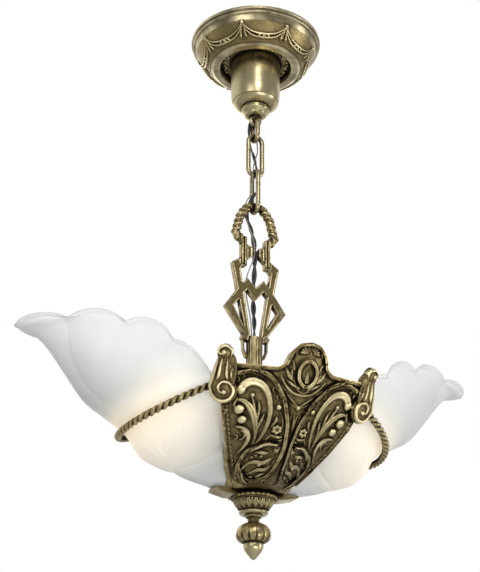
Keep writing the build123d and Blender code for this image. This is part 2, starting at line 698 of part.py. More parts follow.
def make_tip():
    """Smooth acorn below the knob."""
    top = CHECK_BOTTOM - 1.32 * KNOB_HEIGHT
    side = Spline(
        at(TIP_RADIUS - 0.6, top), at(TIP_RADIUS, top - 0.2 * TIP_LENGTH),
        at(0.82 * TIP_RADIUS, top - 0.5 * TIP_LENGTH),
        at(0.46 * TIP_RADIUS, top - 0.76 * TIP_LENGTH), at(0.2 * TIP_RADIUS, top - 0.93 * TIP_LENGTH),
        at(0, top - TIP_LENGTH),
    )
    edges = [Line(at(0, top), side @ 0), side, Line(side @ 1, at(0, top))]
    return revolve(make_face(edges), Axis.Z, 360)


def lamp_plane():
    """Right lamp axis: origin at the hub's centre, z along the lamp."""
    angle = math.radians(LAMP_ANGLE)
    return Plane(
        origin=(0, 0, HUB_HEIGHT),
        x_dir=(math.sin(angle), 0, -math.cos(angle)),
        z_dir=(math.cos(angle), 0, math.sin(angle)),
    )


def along_lamp(points):
    """Solid turned about the right lamp axis from (radius, distance along) points."""
    return lamp_plane() * turned(points)


def lamp_tube():
    """Short threaded tube from the hub into the lampholder's cap."""
    return along_lamp([
        (TUBE_BORE, HUB_RADIUS - HUB_WALL - 1.5), (TUBE_RADIUS, HUB_RADIUS - HUB_WALL - 1.5),
        (TUBE_RADIUS, CAP_START + 5.0), (TUBE_BORE, CAP_START + 5.0),
    ])


def make_hub():
    """Hollow hub with threaded outlets up, down and towards each lamp."""
    half = HUB_DEPTH / 2
    hub = turned([
        (TUBE_RADIUS, half), (HUB_RADIUS - 5.0, half, 1.0), (HUB_RADIUS, half - 5.0, 3.0),
        (HUB_RADIUS, 5.0 - half, 3.0), (HUB_RADIUS - 5.0, -half, 1.0), (TUBE_RADIUS, -half),
        (TUBE_RADIUS, HUB_WALL - half), (HUB_RADIUS - HUB_WALL, HUB_WALL - half, 3.0),
        (HUB_RADIUS - HUB_WALL, half - HUB_WALL, 3.0), (TUBE_RADIUS, half - HUB_WALL),
    ])
    hub = Pos(0, 0, HUB_HEIGHT) * hub
    boss = along_lamp([
        (0.0, HUB_RADIUS - HUB_WALL - 1.0), (7.5, HUB_RADIUS - HUB_WALL - 1.0), (7.5, CAP_START),
        (0.0, CAP_START),
    ])
    way = along_lamp([
        (0.0, 2.0), (TUBE_RADIUS, 2.0), (TUBE_RADIUS, CAP_START + 4.0), (0.0, CAP_START + 4.0),
    ])
    hollow = Pos(0, 0, HUB_HEIGHT) * Cylinder(HUB_RADIUS - HUB_WALL, HUB_DEPTH - 2 * HUB_WALL)
    return hub + both_sides(boss - hollow) - both_sides(way)


def holder_cap():
    """Domed cap of the lampholder."""
    end = CAP_START + CAP_LENGTH
    wall = 1.2
    return along_lamp([
        (TUBE_RADIUS, CAP_START), (8.5, CAP_START, 1.0), (HOLDER_RADIUS + 1.0, end - 5.0, 4.0),
        (HOLDER_RADIUS + 1.0, end, 0.4),
        (HOLDER_RADIUS, end), (HOLDER_RADIUS, end - 5.6, 1.4), (7.5, CAP_START + wall, 1.0),
        (TUBE_RADIUS, CAP_START + wall),
    ])


def holder_shell():
    """Thin outer shell of the lampholder, with a rolled bead near its mouth."""
    start = CAP_START + CAP_LENGTH - 4.0
    inner = HOLDER_RADIUS - HOLDER_WALL
    return along_lamp([
        (inner, start), (HOLDER_RADIUS, start), (HOLDER_RADIUS, HOLDER_END - 8.0),
        (HOLDER_RADIUS + 0.7, HOLDER_END - 7.0, 0.5),
        (HOLDER_RADIUS, HOLDER_END - 6.0), (HOLDER_RADIUS, HOLDER_END - 0.5),
        (HOLDER_RADIUS + 0.5, HOLDER_END),
        (inner, HOLDER_END),
    ])


def holder_liner():
    """Insulating liner inside the shell, with the floor that carries the contacts."""
    outer = HOLDER_RADIUS - HOLDER_WALL
    start = CAP_START + CAP_LENGTH - 3.0
    floor = BASE_START - 1.5
    inner = outer - LINER_WALL
    return along_lamp([
        (2.0, start), (outer, start), (outer, HOLDER_END - 0.6), (inner, HOLDER_END - 0.6),
        (inner, floor), (2.0, floor),
    ])


def screw_shell():
    """Inner shell that takes the bulb's base, with the centre contact's rivet below it."""
    inner = BASE_RADIUS + BASE_CLEARANCE
    floor = BASE_START - 1.5
    shell = along_lamp([
        (inner, floor), (inner + SCREW_SHELL_WALL, floor),
        (inner + SCREW_SHELL_WALL, BASE_START + BASE_LENGTH),
        (inner, BASE_START + BASE_LENGTH),
    ])
    flange = along_lamp([
        (5.0, floor), (inner + 0.1, floor), (inner + 0.1, floor + 0.5), (5.0, floor + 0.5),
    ])
    return shell + flange


def centre_contact():
    """Springy centre contact under the bulb."""
    floor = BASE_START - 1.5
    return along_lamp([
        (0.0, floor - 4.0), (1.9, floor - 4.0), (1.9, floor), (3.4, floor),
        (3.4, BASE_START - 0.4, 0.4), (0.0, BASE_START - 0.4),
    ])


def bulb_base():
    """Metal base of the bulb with its insulated tip."""
    end = BASE_START + BASE_LENGTH
    return along_lamp([
        (0.0, BASE_START - 0.3), (4.2, BASE_START - 0.3), (5.0, BASE_START + 1.0),
        (10.5, BASE_START + 2.6, 0.8),
        (BASE_RADIUS, BASE_START + 4.0), (BASE_RADIUS, end), (0.0, end),
    ])


def bulb_envelope():
    """Glass envelope of the bulb."""
    start = BASE_START + BASE_LENGTH
    end = start + BULB_LENGTH
    middle = end - BULB_RADIUS
    edges = [
        Line(at(0, start), at(BASE_RADIUS - 0.8, start)),
        Line(at(BASE_RADIUS - 0.8, start), at(BASE_RADIUS + 0.2, start + 8.0)),
        ThreePointArc(
            at(BASE_RADIUS + 0.2, start + 8.0), at(0.83 * BULB_RADIUS, start + 20.5), at(BULB_RADIUS, middle)
        ),
        ThreePointArc(
            at(BULB_RADIUS, middle),
            at(BULB_RADIUS * math.sqrt(0.5), middle + BULB_RADIUS * math.sqrt(0.5)),
            at(0, end),
        ),
        Line(at(0, end), at(0, start)),
    ]
    return lamp_plane() * revolve(make_face(edges), Axis.Z, 360)


def lamp_lead():
    """Short lead from the hub's middle to the lampholder's floor."""
    end = CAP_START + CAP_LENGTH - 3.0
    return along_lamp([(0.0, 6.0), (LEAD_RADIUS - 0.2, 6.0), (LEAD_RADIUS - 0.2, end), (0.0, end)])


def cord_path(points):
    """Straight runs joined by the largest even arcs, and the list of their radii."""
    vectors = [Vector(*point) for point in points]
    radii = []
    for before, here, after in zip(vectors, vectors[1:], vectors[2:]):
        turn = math.radians((here - before).get_angle(after - here))
        shorter = min((here - before).length, (after - here).length)
        radii.append(0.45 * shorter / math.tan(turn / 2))
    return FilletPolyline(*vectors, radius=radii), radii


def make_cord(points, radius, name):
    """Tube of a lead along its route, with its radii and its volume checked in print."""
    path, radii = cord_path(points)
    cord = rod_along(path, radius)
    share = cord.volume / (math.pi * radius ** 2 * path.length)
    rounded = [round(r, 1) for r in radii]
    print(name, "length", round(path.length, 1), "radii", rounded, "volume share", round(share, 4))
    return cord


# Routes of the leads, chosen by hand from the collar to the socket
LEAD_ROUTE = [
    (-1.2, 1.2, -1.0),
    (-1.3, 1.1, -38.0),
    (-1.1, 1.2, -80.0),
    (-3.1, 3.8, -87.2),
    (-4.5, 4.6, -96.0),
    (-4.9, 4.9, -109.0),
    (-4.6, 4.5, -119.0),
    (-1.9, 1.6, -129.5),
    (1.2, 1.8, -140.0),
    (4.7, 4.7, -150.5),
    (5.0, 4.9, -161.0),
    (3.2, 1.0, -171.5),
    (-2.2, 0.3, -180.0),
    (-5.4, 5.1, -187.0),
    (-5.9, 6.5, -196.0),
    (-4.2, 4.2, -208.0),
    (-1.4, 1.2, -222.0),
    (0.4, 0.2, -238.0),
    (0.5, 0.9, -254.0),
    (1.6, 5.3, -268.0),
    (1.4, 5.9, -283.0),
    (0.8, 4.4, -298.0),
    (0.4, 0.9, -312.0),
    (0.0, 0.1, -326.0),
    (0.1, 0.0, -342.0),
    (0.0, 0.1, -372.0),
    (0.1, 0.0, -402.0),
    (0.0, 0.0, HUB_TOP - 8.0),
]
GROUND_ROUTE = [
    (2.2, 1.3, -1.0),
    (2.3, 1.4, -38.0),
    (2.1, 1.3, -80.0),
    (3.4, 3.4, -87.2),
    (3.9, 3.7, -96.0),
    (4.0, 3.6, -109.0),
    (3.6, 3.7, -118.0),
    (2.4, -1.3, -129.5),
    (-1.6, -2.3, -140.0),
    (-3.9, -4.0, -151.0),
    (-4.0, -3.8, -161.0),
    (-3.5, -2.2, -170.0),
    (-4.6, -1.6, -178.0),
    (-8.8, 3.2, -186.5),
    (-9.2, 5.6, -196.0),
    (-7.0, 2.6, -208.0),
    (-3.2, -1.4, -222.0),
    (-0.9, -2.6, -236.0),
    (-1.7, -2.4, -248.0),
    (-4.8, 0.8, -257.5),
    (-7.0, 4.6, -267.0),
    (-7.2, 4.8, -280.0),
    (-5.0, 4.0, -294.0),
    (-3.6, 1.2, -308.0),
    (-2.6, 0.1, -324.0),
    (-2.4, -0.2, -340.0),
    (-2.5, 0.0, -370.0),
    (-2.4, -0.1, -400.0),
    (-2.4, 0.0, HUB_TOP - 6.0),
]


def main():
    save(make_canopy(), "canopy")
    save(make_strap(), "ceiling_strap")
    save(tube(-0.6, BELL_BOTTOM - COLLAR_CHAMBER_TOP), "mounting_tube")
    save(hex_nut(-STRAP_DROP - STRAP_THICKNESS), "strap_nut")
    save(make_bell(), "canopy_bell")
    save(make_screw_collar(), "screw_collar")
    quarter = Rot(0, 0, 90)
    first = make_link(LINK_1_TOP, FIRST_LINK_LENGTH, FIRST_LINK_WIDTH, 0.5 * FIRST_LINK_LENGTH)
    save(quarter * first, "link_1")
    save(make_link(LINK_2_TOP, LINK_LENGTH, LINK_WIDTH, 0.41 * LINK_LENGTH), "link_2")
    save(quarter * make_link(LINK_3_TOP, LINK_LENGTH, LINK_WIDTH, 0.39 * LINK_LENGTH), "link_3")
    save(make_stem(), "stem_hanger")
    save(tube(SOCKET_TOP - SOCKET_LENGTH + TUBE_GRIP, HUB_TOP - HUB_WALL - 1.0), "stem_tube")
    save(tube(HUB_HEIGHT - HUB_DEPTH / 2 + HUB_WALL + 1.0, CHECK_BOTTOM), "lower_tube")
    save(hex_nut(HUB_TOP + NUT_HEIGHT), "hub_nut_top")
    save(hex_nut(HUB_HEIGHT - HUB_DEPTH / 2), "hub_nut_bottom")
    save(hex_nut(BODY_FLOOR_TOP + NUT_HEIGHT), "floor_nut")
    body = make_body()
    save(body, "body_casting")
    save(make_cup(), "bottom_cup")
    save(make_check_ring(), "check_ring")
    save(make_knob(), "finial_knob")
    save(make_tip(), "finial_tip")
    save(make_hub(), "cluster_hub")
    pairs = {
        "shade_ring": make_ring(body),
        "glass_shade": make_glass(),
        "lamp_tube": lamp_tube(),
        "lampholder_cap": holder_cap(),
        "lampholder_shell": holder_shell(),
        "lampholder_liner": holder_liner(),
        "lampholder_screw_shell": screw_shell(),
        "lampholder_contact": centre_contact(),
        "bulb_base": bulb_base(),
        "bulb_envelope": bulb_envelope(),
        "lamp_lead": lamp_lead(),
    }
    for name, shape in pairs.items():
        save(shape, name + "_right")
        save(mirror(shape, Plane.YZ), name + "_left")
    save(make_cord(LEAD_ROUTE, LEAD_RADIUS, "supply_lead"), "supply_lead")
    save(make_cord(GROUND_ROUTE, GROUND_RADIUS, "ground_wire"), "ground_wire")


main()
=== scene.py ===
# %% [markdown]
# A chain-hung pendant light with two slip shades. The solids come packed from the
# part's own source, in metres, with Z up and the photographed front facing -Y.
# This script leaves them where they are, gives each one a finish, and adds what is
# too fine for the solids: cast ornament, rope twist, twisted leads and fluted glass.

# %% Load the solids
import math
import bpy
import numpy as np
from mathutils import Matrix, Vector
from mathutils.bvhtree import BVHTree


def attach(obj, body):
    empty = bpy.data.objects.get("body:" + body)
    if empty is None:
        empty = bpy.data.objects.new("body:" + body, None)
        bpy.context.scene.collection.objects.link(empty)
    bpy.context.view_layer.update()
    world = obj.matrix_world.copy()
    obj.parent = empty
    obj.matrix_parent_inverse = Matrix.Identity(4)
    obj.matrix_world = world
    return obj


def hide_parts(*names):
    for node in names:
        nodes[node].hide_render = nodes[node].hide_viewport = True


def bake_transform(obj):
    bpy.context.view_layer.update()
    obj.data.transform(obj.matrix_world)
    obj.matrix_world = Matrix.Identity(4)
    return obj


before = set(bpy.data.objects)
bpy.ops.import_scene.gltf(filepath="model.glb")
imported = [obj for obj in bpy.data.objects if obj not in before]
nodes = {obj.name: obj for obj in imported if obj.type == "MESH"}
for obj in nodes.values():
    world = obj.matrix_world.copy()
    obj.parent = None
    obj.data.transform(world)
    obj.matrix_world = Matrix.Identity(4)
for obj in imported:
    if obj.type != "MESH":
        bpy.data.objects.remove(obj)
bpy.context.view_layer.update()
MM = 0.001

# %% [markdown]
# The photograph was taken from below and a little to the left, with a long lens. The
# place and lens were worked out by matching the canopy's ellipse, the chain and the
# finial. The lens is kept as a focal length in image widths, so it holds at any size.

# %% Camera
def look_from(place, bearing, pitch, roll, focal_widths):
    """Camera at a place, turned by a bearing from +Y, a pitch up and a roll."""
    onward = Vector((math.sin(bearing), math.cos(bearing), 0.0))
    level = Vector((math.cos(bearing), -math.sin(bearing), 0.0))
    ahead = onward * math.cos(pitch) + Vector((0.0, 0.0, math.sin(pitch)))
    over = level.cross(ahead)
    across = level * math.cos(roll) + over * math.sin(roll)
    upward = over * math.cos(roll) - level * math.sin(roll)
    data = bpy.data.cameras.new("pendant_camera")
    data.sensor_fit = "HORIZONTAL"
    data.lens = data.sensor_width * focal_widths
    data.clip_start, data.clip_end = 0.05, 50.0
    camera = bpy.data.objects.new("pendant_camera", data)
    turn = Matrix((across, upward, -ahead)).transposed().to_4x4()
    camera.matrix_world = Matrix.Translation(place) @ turn
    bpy.context.scene.collection.objects.link(camera)
    bpy.context.scene.camera = camera


VIEW_FROM = Vector((-421.2, -946.0, -744.15)) * MM
look_from(VIEW_FROM, math.radians(23.238), math.radians(24.358), math.radians(0.58), 2.5)
bpy.context.scene.view_settings.view_transform = "Standard"
print("camera distance", round((Vector((0, 0, -0.3)) - VIEW_FROM).length, 3))

# %% [markdown]
# The room and every finish below are made of shader nodes. These helpers add a node with
# its values and links in one call, so a material reads as a short list of steps.

# %% Node helpers
def connect(tree, node, inputs):
    """Give each named input of a node a value, or the socket that feeds it."""
    for key, value in inputs.items():
        if isinstance(value, bpy.types.NodeSocket):
            tree.links.new(value, node.inputs[key])
        else:
            node.inputs[key].default_value = value


def put(tree, kind, inputs=None, **settings):
    """Add a node with its options set and its inputs connected."""
    node = tree.nodes.new(kind)
    for key, value in settings.items():
        setattr(node, key, value)
    connect(tree, node, inputs or {})
    return node


def maths(tree, operation, *inputs):
    """Result of a math node on values or sockets."""
    return put(tree, "ShaderNodeMath", dict(enumerate(inputs)), operation=operation).outputs[0]


def spread(tree, value, start=0.0, end=1.0, low=0.0, high=1.0, kind="LINEAR"):
    """A value with start to end mapped onto low to high."""
    marks = {"Value": value, "From Min": start, "From Max": end, "To Min": low, "To Max": high}
    return put(tree, "ShaderNodeMapRange", marks, interpolation_type=kind).outputs[0]


def noise(tree, where, scale, detail=2.0, roughness=0.5):
    """Cloudy noise over a surface."""
    look = {"Vector": where, "Scale": scale, "Detail": detail, "Roughness": roughness}
    return put(tree, "ShaderNodeTexNoise", look).outputs["Fac"]


def mixed(tree, factor, first, second, kind="MIX"):
    """Two colours mixed."""
    sockets = {"Factor": factor, 6: first, 7: second}
    return put(tree, "ShaderNodeMix", sockets, data_type="RGBA", blend_type=kind).outputs[2]


def bumped(tree, height, strength, distance, below=None):
    """Normal of a surface with fine height, laid over another bump if there is one."""
    sockets = {"Height": height, "Strength": strength, "Distance": distance}
    if below:
        sockets["Normal"] = below
    return put(tree, "ShaderNodeBump", sockets).outputs[0]


def tinted(tree, source, stops):
    """Colour ramp through (place, colour) stops."""
    node = put(tree, "ShaderNodeValToRGB", {"Fac": source})
    for mark, (place, colour) in zip(node.color_ramp.elements, stops[:2]):
        mark.position = place
        mark.color = colour + (1,)
    for place, colour in stops[2:]:
        node.color_ramp.elements.new(place).color = colour + (1,)
    return node.outputs["Color"]


def surface_place(tree):
    """Where a point of the surface is, in the object's own metres."""
    return put(tree, "ShaderNodeTexCoord").outputs["Object"]


def group(name, inputs, outputs):
    """Empty node group with named sockets: name, kind and starting value."""
    tree = bpy.data.node_groups.new(name, "ShaderNodeTree")
    for label, kind, start in inputs:
        tree.interface.new_socket(label, in_out="INPUT", socket_type=kind).default_value = start
    for label, kind in outputs:
        tree.interface.new_socket(label, in_out="OUTPUT", socket_type=kind)
    return tree, tree.nodes.new("NodeGroupInput").outputs, tree.nodes.new("NodeGroupOutput")


FLOAT, COLOR = "NodeSocketFloat", "NodeSocketColor"
print("node helpers ready")

# %% [markdown]
# A studio for polished metal needs large soft lamps and a few darker places for the
# metal to mirror, or it looks like plaster. The backdrop is white to the camera and to
# the mirror and glass rays that look its way, while the room behind the camera is grey.

# %% Studio
def studio_world():
    """White backdrop beyond the light, dimmer room behind the camera."""
    world = bpy.data.worlds.new("studio_world")
    world.use_nodes = True
    tree = world.node_tree
    tree.nodes.clear()
    ray = put(tree, "ShaderNodeLightPath").outputs
    place = put(tree, "ShaderNodeTexCoord").outputs["Generated"]
    depth = put(tree, "ShaderNodeSeparateXYZ", {0: place}).outputs["Y"]
    beyond = spread(tree, depth, -0.1, 0.45, kind="SMOOTHSTEP")
    mirrored = maths(tree, "MULTIPLY", ray["Is Glossy Ray"], beyond)
    through = maths(tree, "MAXIMUM", ray["Is Transmission Ray"], mirrored)
    seen = maths(tree, "MAXIMUM", ray["Is Camera Ray"], through)
    room = put(tree, "ShaderNodeBackground", {"Color": (0.93, 0.95, 1.0, 1), "Strength": 0.43})
    white = put(tree, "ShaderNodeBackground", {"Color": (1, 1, 1, 1), "Strength": 1.0})
    mix = put(tree, "ShaderNodeMixShader", {0: seen, 1: room.outputs[0], 2: white.outputs[0]})
    put(tree, "ShaderNodeOutputWorld", {"Surface": mix.outputs[0]})
    bpy.context.scene.world = world


def soft_lamp(name, place, target, size, power):
    """Area lamp aimed at a point."""
    data = bpy.data.lights.new(name, "AREA")
    data.shape = "RECTANGLE"
    data.size, data.size_y = size
    data.energy = power
    lamp = bpy.data.objects.new(name, data)
    lamp.location = place
    lamp.rotation_euler = (Vector(target) - Vector(place)).to_track_quat("-Z", "Y").to_euler()
    bpy.context.scene.collection.objects.link(lamp)


studio_world()
soft_lamp("key_left", (-1.5, -1.5, -0.1), (0, 0, -0.3), (0.9, 1.4), 9)
soft_lamp("fill_right", (1.9, -1.0, -0.5), (0, 0, -0.3), (0.4, 1.5), 12)
soft_lamp("low_front", (0.2, -1.6, -1.45), (0, 0, -0.3), (1.2, 0.4), 12)
soft_lamp("back_top", (0.3, 1.4, 0.1), (0, 0, -0.3), (1.4, 0.6), 4)
soft_lamp("high_front", (-0.35, -1.6, 0.6), (0, 0, -0.1), (0.45, 0.8), 9)

# %% Floor
FLOOR_HEIGHT, FLOOR_REACH, FLOOR_STEPS = -1.5, 3.0, 24


def woven(one, other):
    """Quads between matching rows of vertex numbers."""
    return np.stack([one[..., :-1], one[..., 1:], other[..., 1:], other[..., :-1]], axis=-1).reshape(-1, 4)


def grid_faces(kept):
    """Quads of a grid of points whose four corners are all kept."""
    numbers = np.arange(kept.size).reshape(kept.shape).T
    quads = woven(numbers[:-1], numbers[1:])
    return quads[kept.ravel()[quads].all(axis=1)]


def studio_floor():
    """Pale floor well below the light, with a gentle roll at its edge."""
    line = np.linspace(-FLOOR_REACH, FLOOR_REACH, FLOOR_STEPS + 1)
    x, y = np.meshgrid(line, line, indexing="ij")
    z = FLOOR_HEIGHT + 0.02 * np.maximum(0, np.hypot(x, y) - 0.8 * FLOOR_REACH) ** 2
    mesh = bpy.data.meshes.new("studio_floor")
    faces = grid_faces(np.isfinite(z)).tolist()
    mesh.from_pydata(np.stack([x, y, z], axis=-1).reshape(-1, 3).tolist(), [], faces)
    floor = bpy.data.objects.new("studio_floor", mesh)
    bpy.context.scene.collection.objects.link(floor)
    paint = bpy.data.materials.new("floor_paper")
    paint.use_nodes = True
    shader = paint.node_tree.nodes["Principled BSDF"]
    connect(paint.node_tree, shader, {"Base Color": (0.82, 0.82, 0.81, 1), "Roughness": 0.8})
    mesh.materials.append(paint)


studio_floor()
print("floor in place")

# %% [markdown]
# Antique brass is cast brass that was darkened with a chemical and then rubbed back by
# hand. The dark brown stays wherever a cloth can't reach and the metal shows pale and
# golden on every edge. The group below takes a mask of how far a place is sunk, breaks it
# up with noise as hand rubbing does, and gives back colour, roughness and fine height.

# %% Patina group
def make_patina_group():
    tree, given, out = group(
        "rubbed_patina",
        [("Open", FLOAT, 1.0), ("Raised", FLOAT, 0.5), ("Scale", FLOAT, 120.0), ("Mottle", FLOAT, 0.5),
         ("Dark", COLOR, (0.020, 0.014, 0.008, 1)), ("Metal", COLOR, (0.24, 0.185, 0.078, 1)),
         ("Rubbed", COLOR, (0.88, 0.76, 0.44, 1))],
        [("Color", COLOR), ("Roughness", FLOAT), ("Height", FLOAT)],
    )
    where = surface_place(tree)
    broad = noise(tree, where, given["Scale"], 4.0, 0.6)
    fine = noise(tree, where, maths(tree, "MULTIPLY", given["Scale"], 7.0), 3.0, 0.65)
    uneven = maths(tree, "MULTIPLY", maths(tree, "SUBTRACT", broad, 0.5), given["Mottle"])
    reach = maths(tree, "ADD", given["Open"], uneven)
    lift = maths(tree, "SUBTRACT", given["Raised"], 0.5)
    total = maths(tree, "MULTIPLY_ADD", lift, 0.75, reach)
    rub = spread(tree, total, 0.25, 0.92, kind="SMOOTHSTEP")
    bright = spread(tree, total, 0.85, 1.35, kind="SMOOTHSTEP")
    metal = mixed(tree, rub, given["Dark"], given["Metal"])
    metal = mixed(tree, bright, metal, given["Rubbed"])
    speck = spread(tree, fine, 0.60, 0.72, 1.0, 0.55)
    dull = spread(tree, rub, low=0.60, high=0.22)
    connect(tree, out, {
        "Color": mixed(tree, 0.55, metal, speck, "MULTIPLY"),
        "Roughness": maths(tree, "MULTIPLY_ADD", fine, 0.16, dull), "Height": fine,
    })
    return tree


PATINA = make_patina_group()
print("patina sockets", [s.name for s in PATINA.interface.items_tree])

# %% Turned and brushed lines group
def make_turning_group():
    """Fine rings left by a lathe tool and polishing wheel, round the hanging axis."""
    tree, given, out = group("turning_lines", [("Pitch", FLOAT, 900.0)], [("Height", FLOAT)])
    where = surface_place(tree)
    height = put(tree, "ShaderNodeSeparateXYZ", {0: where}).outputs["Z"]
    flat = put(tree, "ShaderNodeVectorMath", {0: where, 1: (1.0, 1.0, 0.0)}, operation="MULTIPLY")
    radius = put(tree, "ShaderNodeVectorMath", {0: flat.outputs[0]}, operation="LENGTH").outputs["Value"]
    thin = put(tree, "ShaderNodeCombineXYZ", {"X": radius, "Z": height}).outputs[0]
    connect(tree, out, {"Height": noise(tree, thin, given["Pitch"])})
    return tree


TURNING = make_turning_group()
print("turning group ready")

# %% [markdown]
# One function makes every brass finish. The open-air mask comes from the Ambient
# Occlusion node, which is dark in crevices, and the raised mask from an attribute that
# the carved pieces carry. A bump node turns the fine height into a cast or rubbed skin.

# %% Brass finishes
def material(name, slot):
    """New material for a slot of the record, and its node tree."""
    mat = bpy.data.materials.new(name)
    mat.use_nodes = True
    mat["slot"] = slot
    return mat, mat.node_tree


def shade_with(tree, **inputs):
    """Give the material's shader its values and feeds, with spaces written as underscores."""
    named = {key.replace("_", " "): value for key, value in inputs.items()}
    connect(tree, tree.nodes["Principled BSDF"], named)


def height_band(tree, band):
    """Raised mask that is low between two heights and high outside them."""
    top, bottom, inside = band
    height = put(tree, "ShaderNodeSeparateXYZ", {0: surface_place(tree)}).outputs["Z"]
    away = maths(tree, "ABSOLUTE", maths(tree, "ADD", height, -0.5 * (top + bottom)))
    half = 0.5 * abs(bottom - top)
    return spread(tree, away, half - BAND_EDGE, half + BAND_EDGE, inside, OUTSIDE_BAND)


def brass(name, slot="antique_brass", scale=120.0, mottle=0.5, reach=0.006, grain=0.25, turning=0.0,
          raised=None, dark=(0.020, 0.014, 0.008), metal=(0.27, 0.205, 0.088), rubbed=(0.90, 0.77, 0.45),
          deepen=2.4, band=None):
    """Aged brass: how far a crevice's dark reaches, how mottled, grainy and turned it is."""
    mat, tree = material(name, slot)
    air = put(tree, "ShaderNodeAmbientOcclusion", {"Distance": reach}, samples=12).outputs["AO"]
    lift = 0.5
    if raised:
        lift = put(tree, "ShaderNodeAttribute", attribute_name=raised).outputs["Fac"]
    if band:
        lift = height_band(tree, band)
    patina = put(tree, "ShaderNodeGroup", node_tree=PATINA)
    connect(tree, patina, {
        "Open": maths(tree, "POWER", air, deepen), "Raised": lift, "Scale": scale, "Mottle": mottle,
        "Dark": dark + (1,), "Metal": metal + (1,), "Rubbed": rubbed + (1,),
    })
    normal = bumped(tree, patina.outputs["Height"], grain, 0.0003)
    if turning:
        lines = put(tree, "ShaderNodeGroup", node_tree=TURNING).outputs["Height"]
        normal = bumped(tree, lines, turning, 0.00012, normal)
    shade_with(tree, Metallic=1.0, Base_Color=patina.outputs["Color"],
               Roughness=patina.outputs["Roughness"], Normal=normal)
    return mat


BAND_EDGE, OUTSIDE_BAND = 0.0006, 0.72
CANOPY_BAND = (-0.0292, -0.0128, 0.10)
CAST = brass("antique_cast_brass", mottle=0.8, grain=0.5)
CARVED = brass("antique_carved_brass", scale=160.0, raised="carved", reach=0.004, mottle=0.5, grain=0.5)
GROUND = brass("antique_canopy_brass", scale=34.0, mottle=1.15, reach=0.005, grain=0.5,
               metal=(0.19, 0.155, 0.090), rubbed=(0.72, 0.62, 0.38), deepen=1.6, band=CANOPY_BAND)
SPUN = brass("antique_spun_brass", scale=40.0, mottle=0.18, grain=0.08, turning=0.35,
             metal=(0.40, 0.34, 0.18), rubbed=(0.74, 0.66, 0.42), deepen=1.3)
CHAIN = brass("antique_chain_brass", scale=90.0, mottle=0.3, grain=0.15,
              metal=(0.32, 0.26, 0.13), rubbed=(0.82, 0.73, 0.48), deepen=1.4)
PLAIN = brass("plain_machined_brass", "plain_brass", scale=60.0, mottle=0.12, grain=0.08, turning=0.25,
              dark=(0.25, 0.18, 0.07), metal=(0.66, 0.52, 0.26), rubbed=(0.80, 0.68, 0.40), deepen=0.6)
print("brass finishes", 6)

# %% Small-part finishes
def simple(name, slot, colour, rough, metal=0.0, scale=300.0, vary=0.25, grain=0.2):
    """Plain finish with noise in its colour, roughness and height."""
    mat, tree = material(name, slot)
    cloud = noise(tree, surface_place(tree), scale, 3.0)
    low = tuple(c * (1 - vary) for c in colour)
    high = tuple(min(1.0, c * (1 + vary)) for c in colour)
    shade_with(tree, Metallic=metal, Base_Color=tinted(tree, cloud, [(0.3, low), (0.7, high)]),
               Roughness=spread(tree, cloud, low=rough * 0.8, high=min(1.0, rough * 1.25)),
               Normal=bumped(tree, cloud, grain, 0.0002))
    return mat


ZINC = simple("zinc_plated_steel", "zinc_steel", (0.56, 0.57, 0.55), 0.34, 1.0, 220.0, 0.12)
ALUMINIUM = simple("drawn_aluminium", "aluminium_shell", (0.74, 0.74, 0.73), 0.26, 1.0, 500.0, 0.06, 0.1)
FIBRE = simple("insulating_fibre", "insulating_liner", (0.055, 0.045, 0.036), 0.62, 0.0, 900.0, 0.3)
RUBBER = simple("black_insulation", "black_insulation", (0.022, 0.022, 0.024), 0.36, 0.0, 700.0, 0.3, 0.12)
TINNED = simple("tinned_ground_copper", "tinned_copper", (0.34, 0.30, 0.25), 0.38, 1.0, 400.0, 0.25)
print("small-part finishes", 5)

# %% [markdown]
# The shades are clear glass that was etched inside and out until it scatters light. They
# look nearly opaque and very pale, a little green in the thick places, and they glow
# softly where a bulb is near. The glow is set by the distance from the bulb, on both sides.

# %% Satin glass and bulb finishes
GLOW_START, GLOW_END = 0.040, 0.074
GLOW = [(0.0, (0.0, 0.0, 0.0)), (0.4, (0.12, 0.095, 0.060)), (1.0, (0.30, 0.23, 0.14))]


def satin_glass(name, bulb_place):
    """Etched glass that glows within reach of its bulb."""
    mat, tree = material(name, "satin_glass")
    where = surface_place(tree)
    to_bulb = {0: where, 1: tuple(bulb_place)}
    away = put(tree, "ShaderNodeVectorMath", to_bulb, operation="DISTANCE").outputs["Value"]
    near = spread(tree, away, GLOW_START, GLOW_END, 1.0, 0.0, "SMOOTHERSTEP")
    cloud = noise(tree, where, 28.0, 5.0, 0.6)
    etch = noise(tree, where, 1600.0)
    tint = tinted(tree, cloud, [(0.25, (0.80, 0.815, 0.795)), (0.75, (0.90, 0.905, 0.885))])
    shade_with(tree, Metallic=0.0, Transmission_Weight=0.42, IOR=1.5, Emission_Strength=1.0,
               Base_Color=tint, Emission_Color=tinted(tree, near, GLOW),
               Roughness=spread(tree, etch, low=0.42, high=0.6), Normal=bumped(tree, etch, 0.12, 0.0002))
    return mat


def bulb_finish():
    """Opal glass with the lamp lit behind it."""
    mat, tree = material("opal_bulb_glass", "bulb_glass")
    cloud = noise(tree, surface_place(tree), 60.0)
    tint = tinted(tree, cloud, [(0.3, (0.90, 0.88, 0.83)), (0.7, (0.95, 0.94, 0.90))])
    warm = tinted(tree, cloud, [(0.3, (1.0, 0.80, 0.58)), (0.7, (1.0, 0.84, 0.64))])
    shade_with(tree, Roughness=0.28, Emission_Strength=1.6, Base_Color=tint, Emission_Color=warm)
    return mat


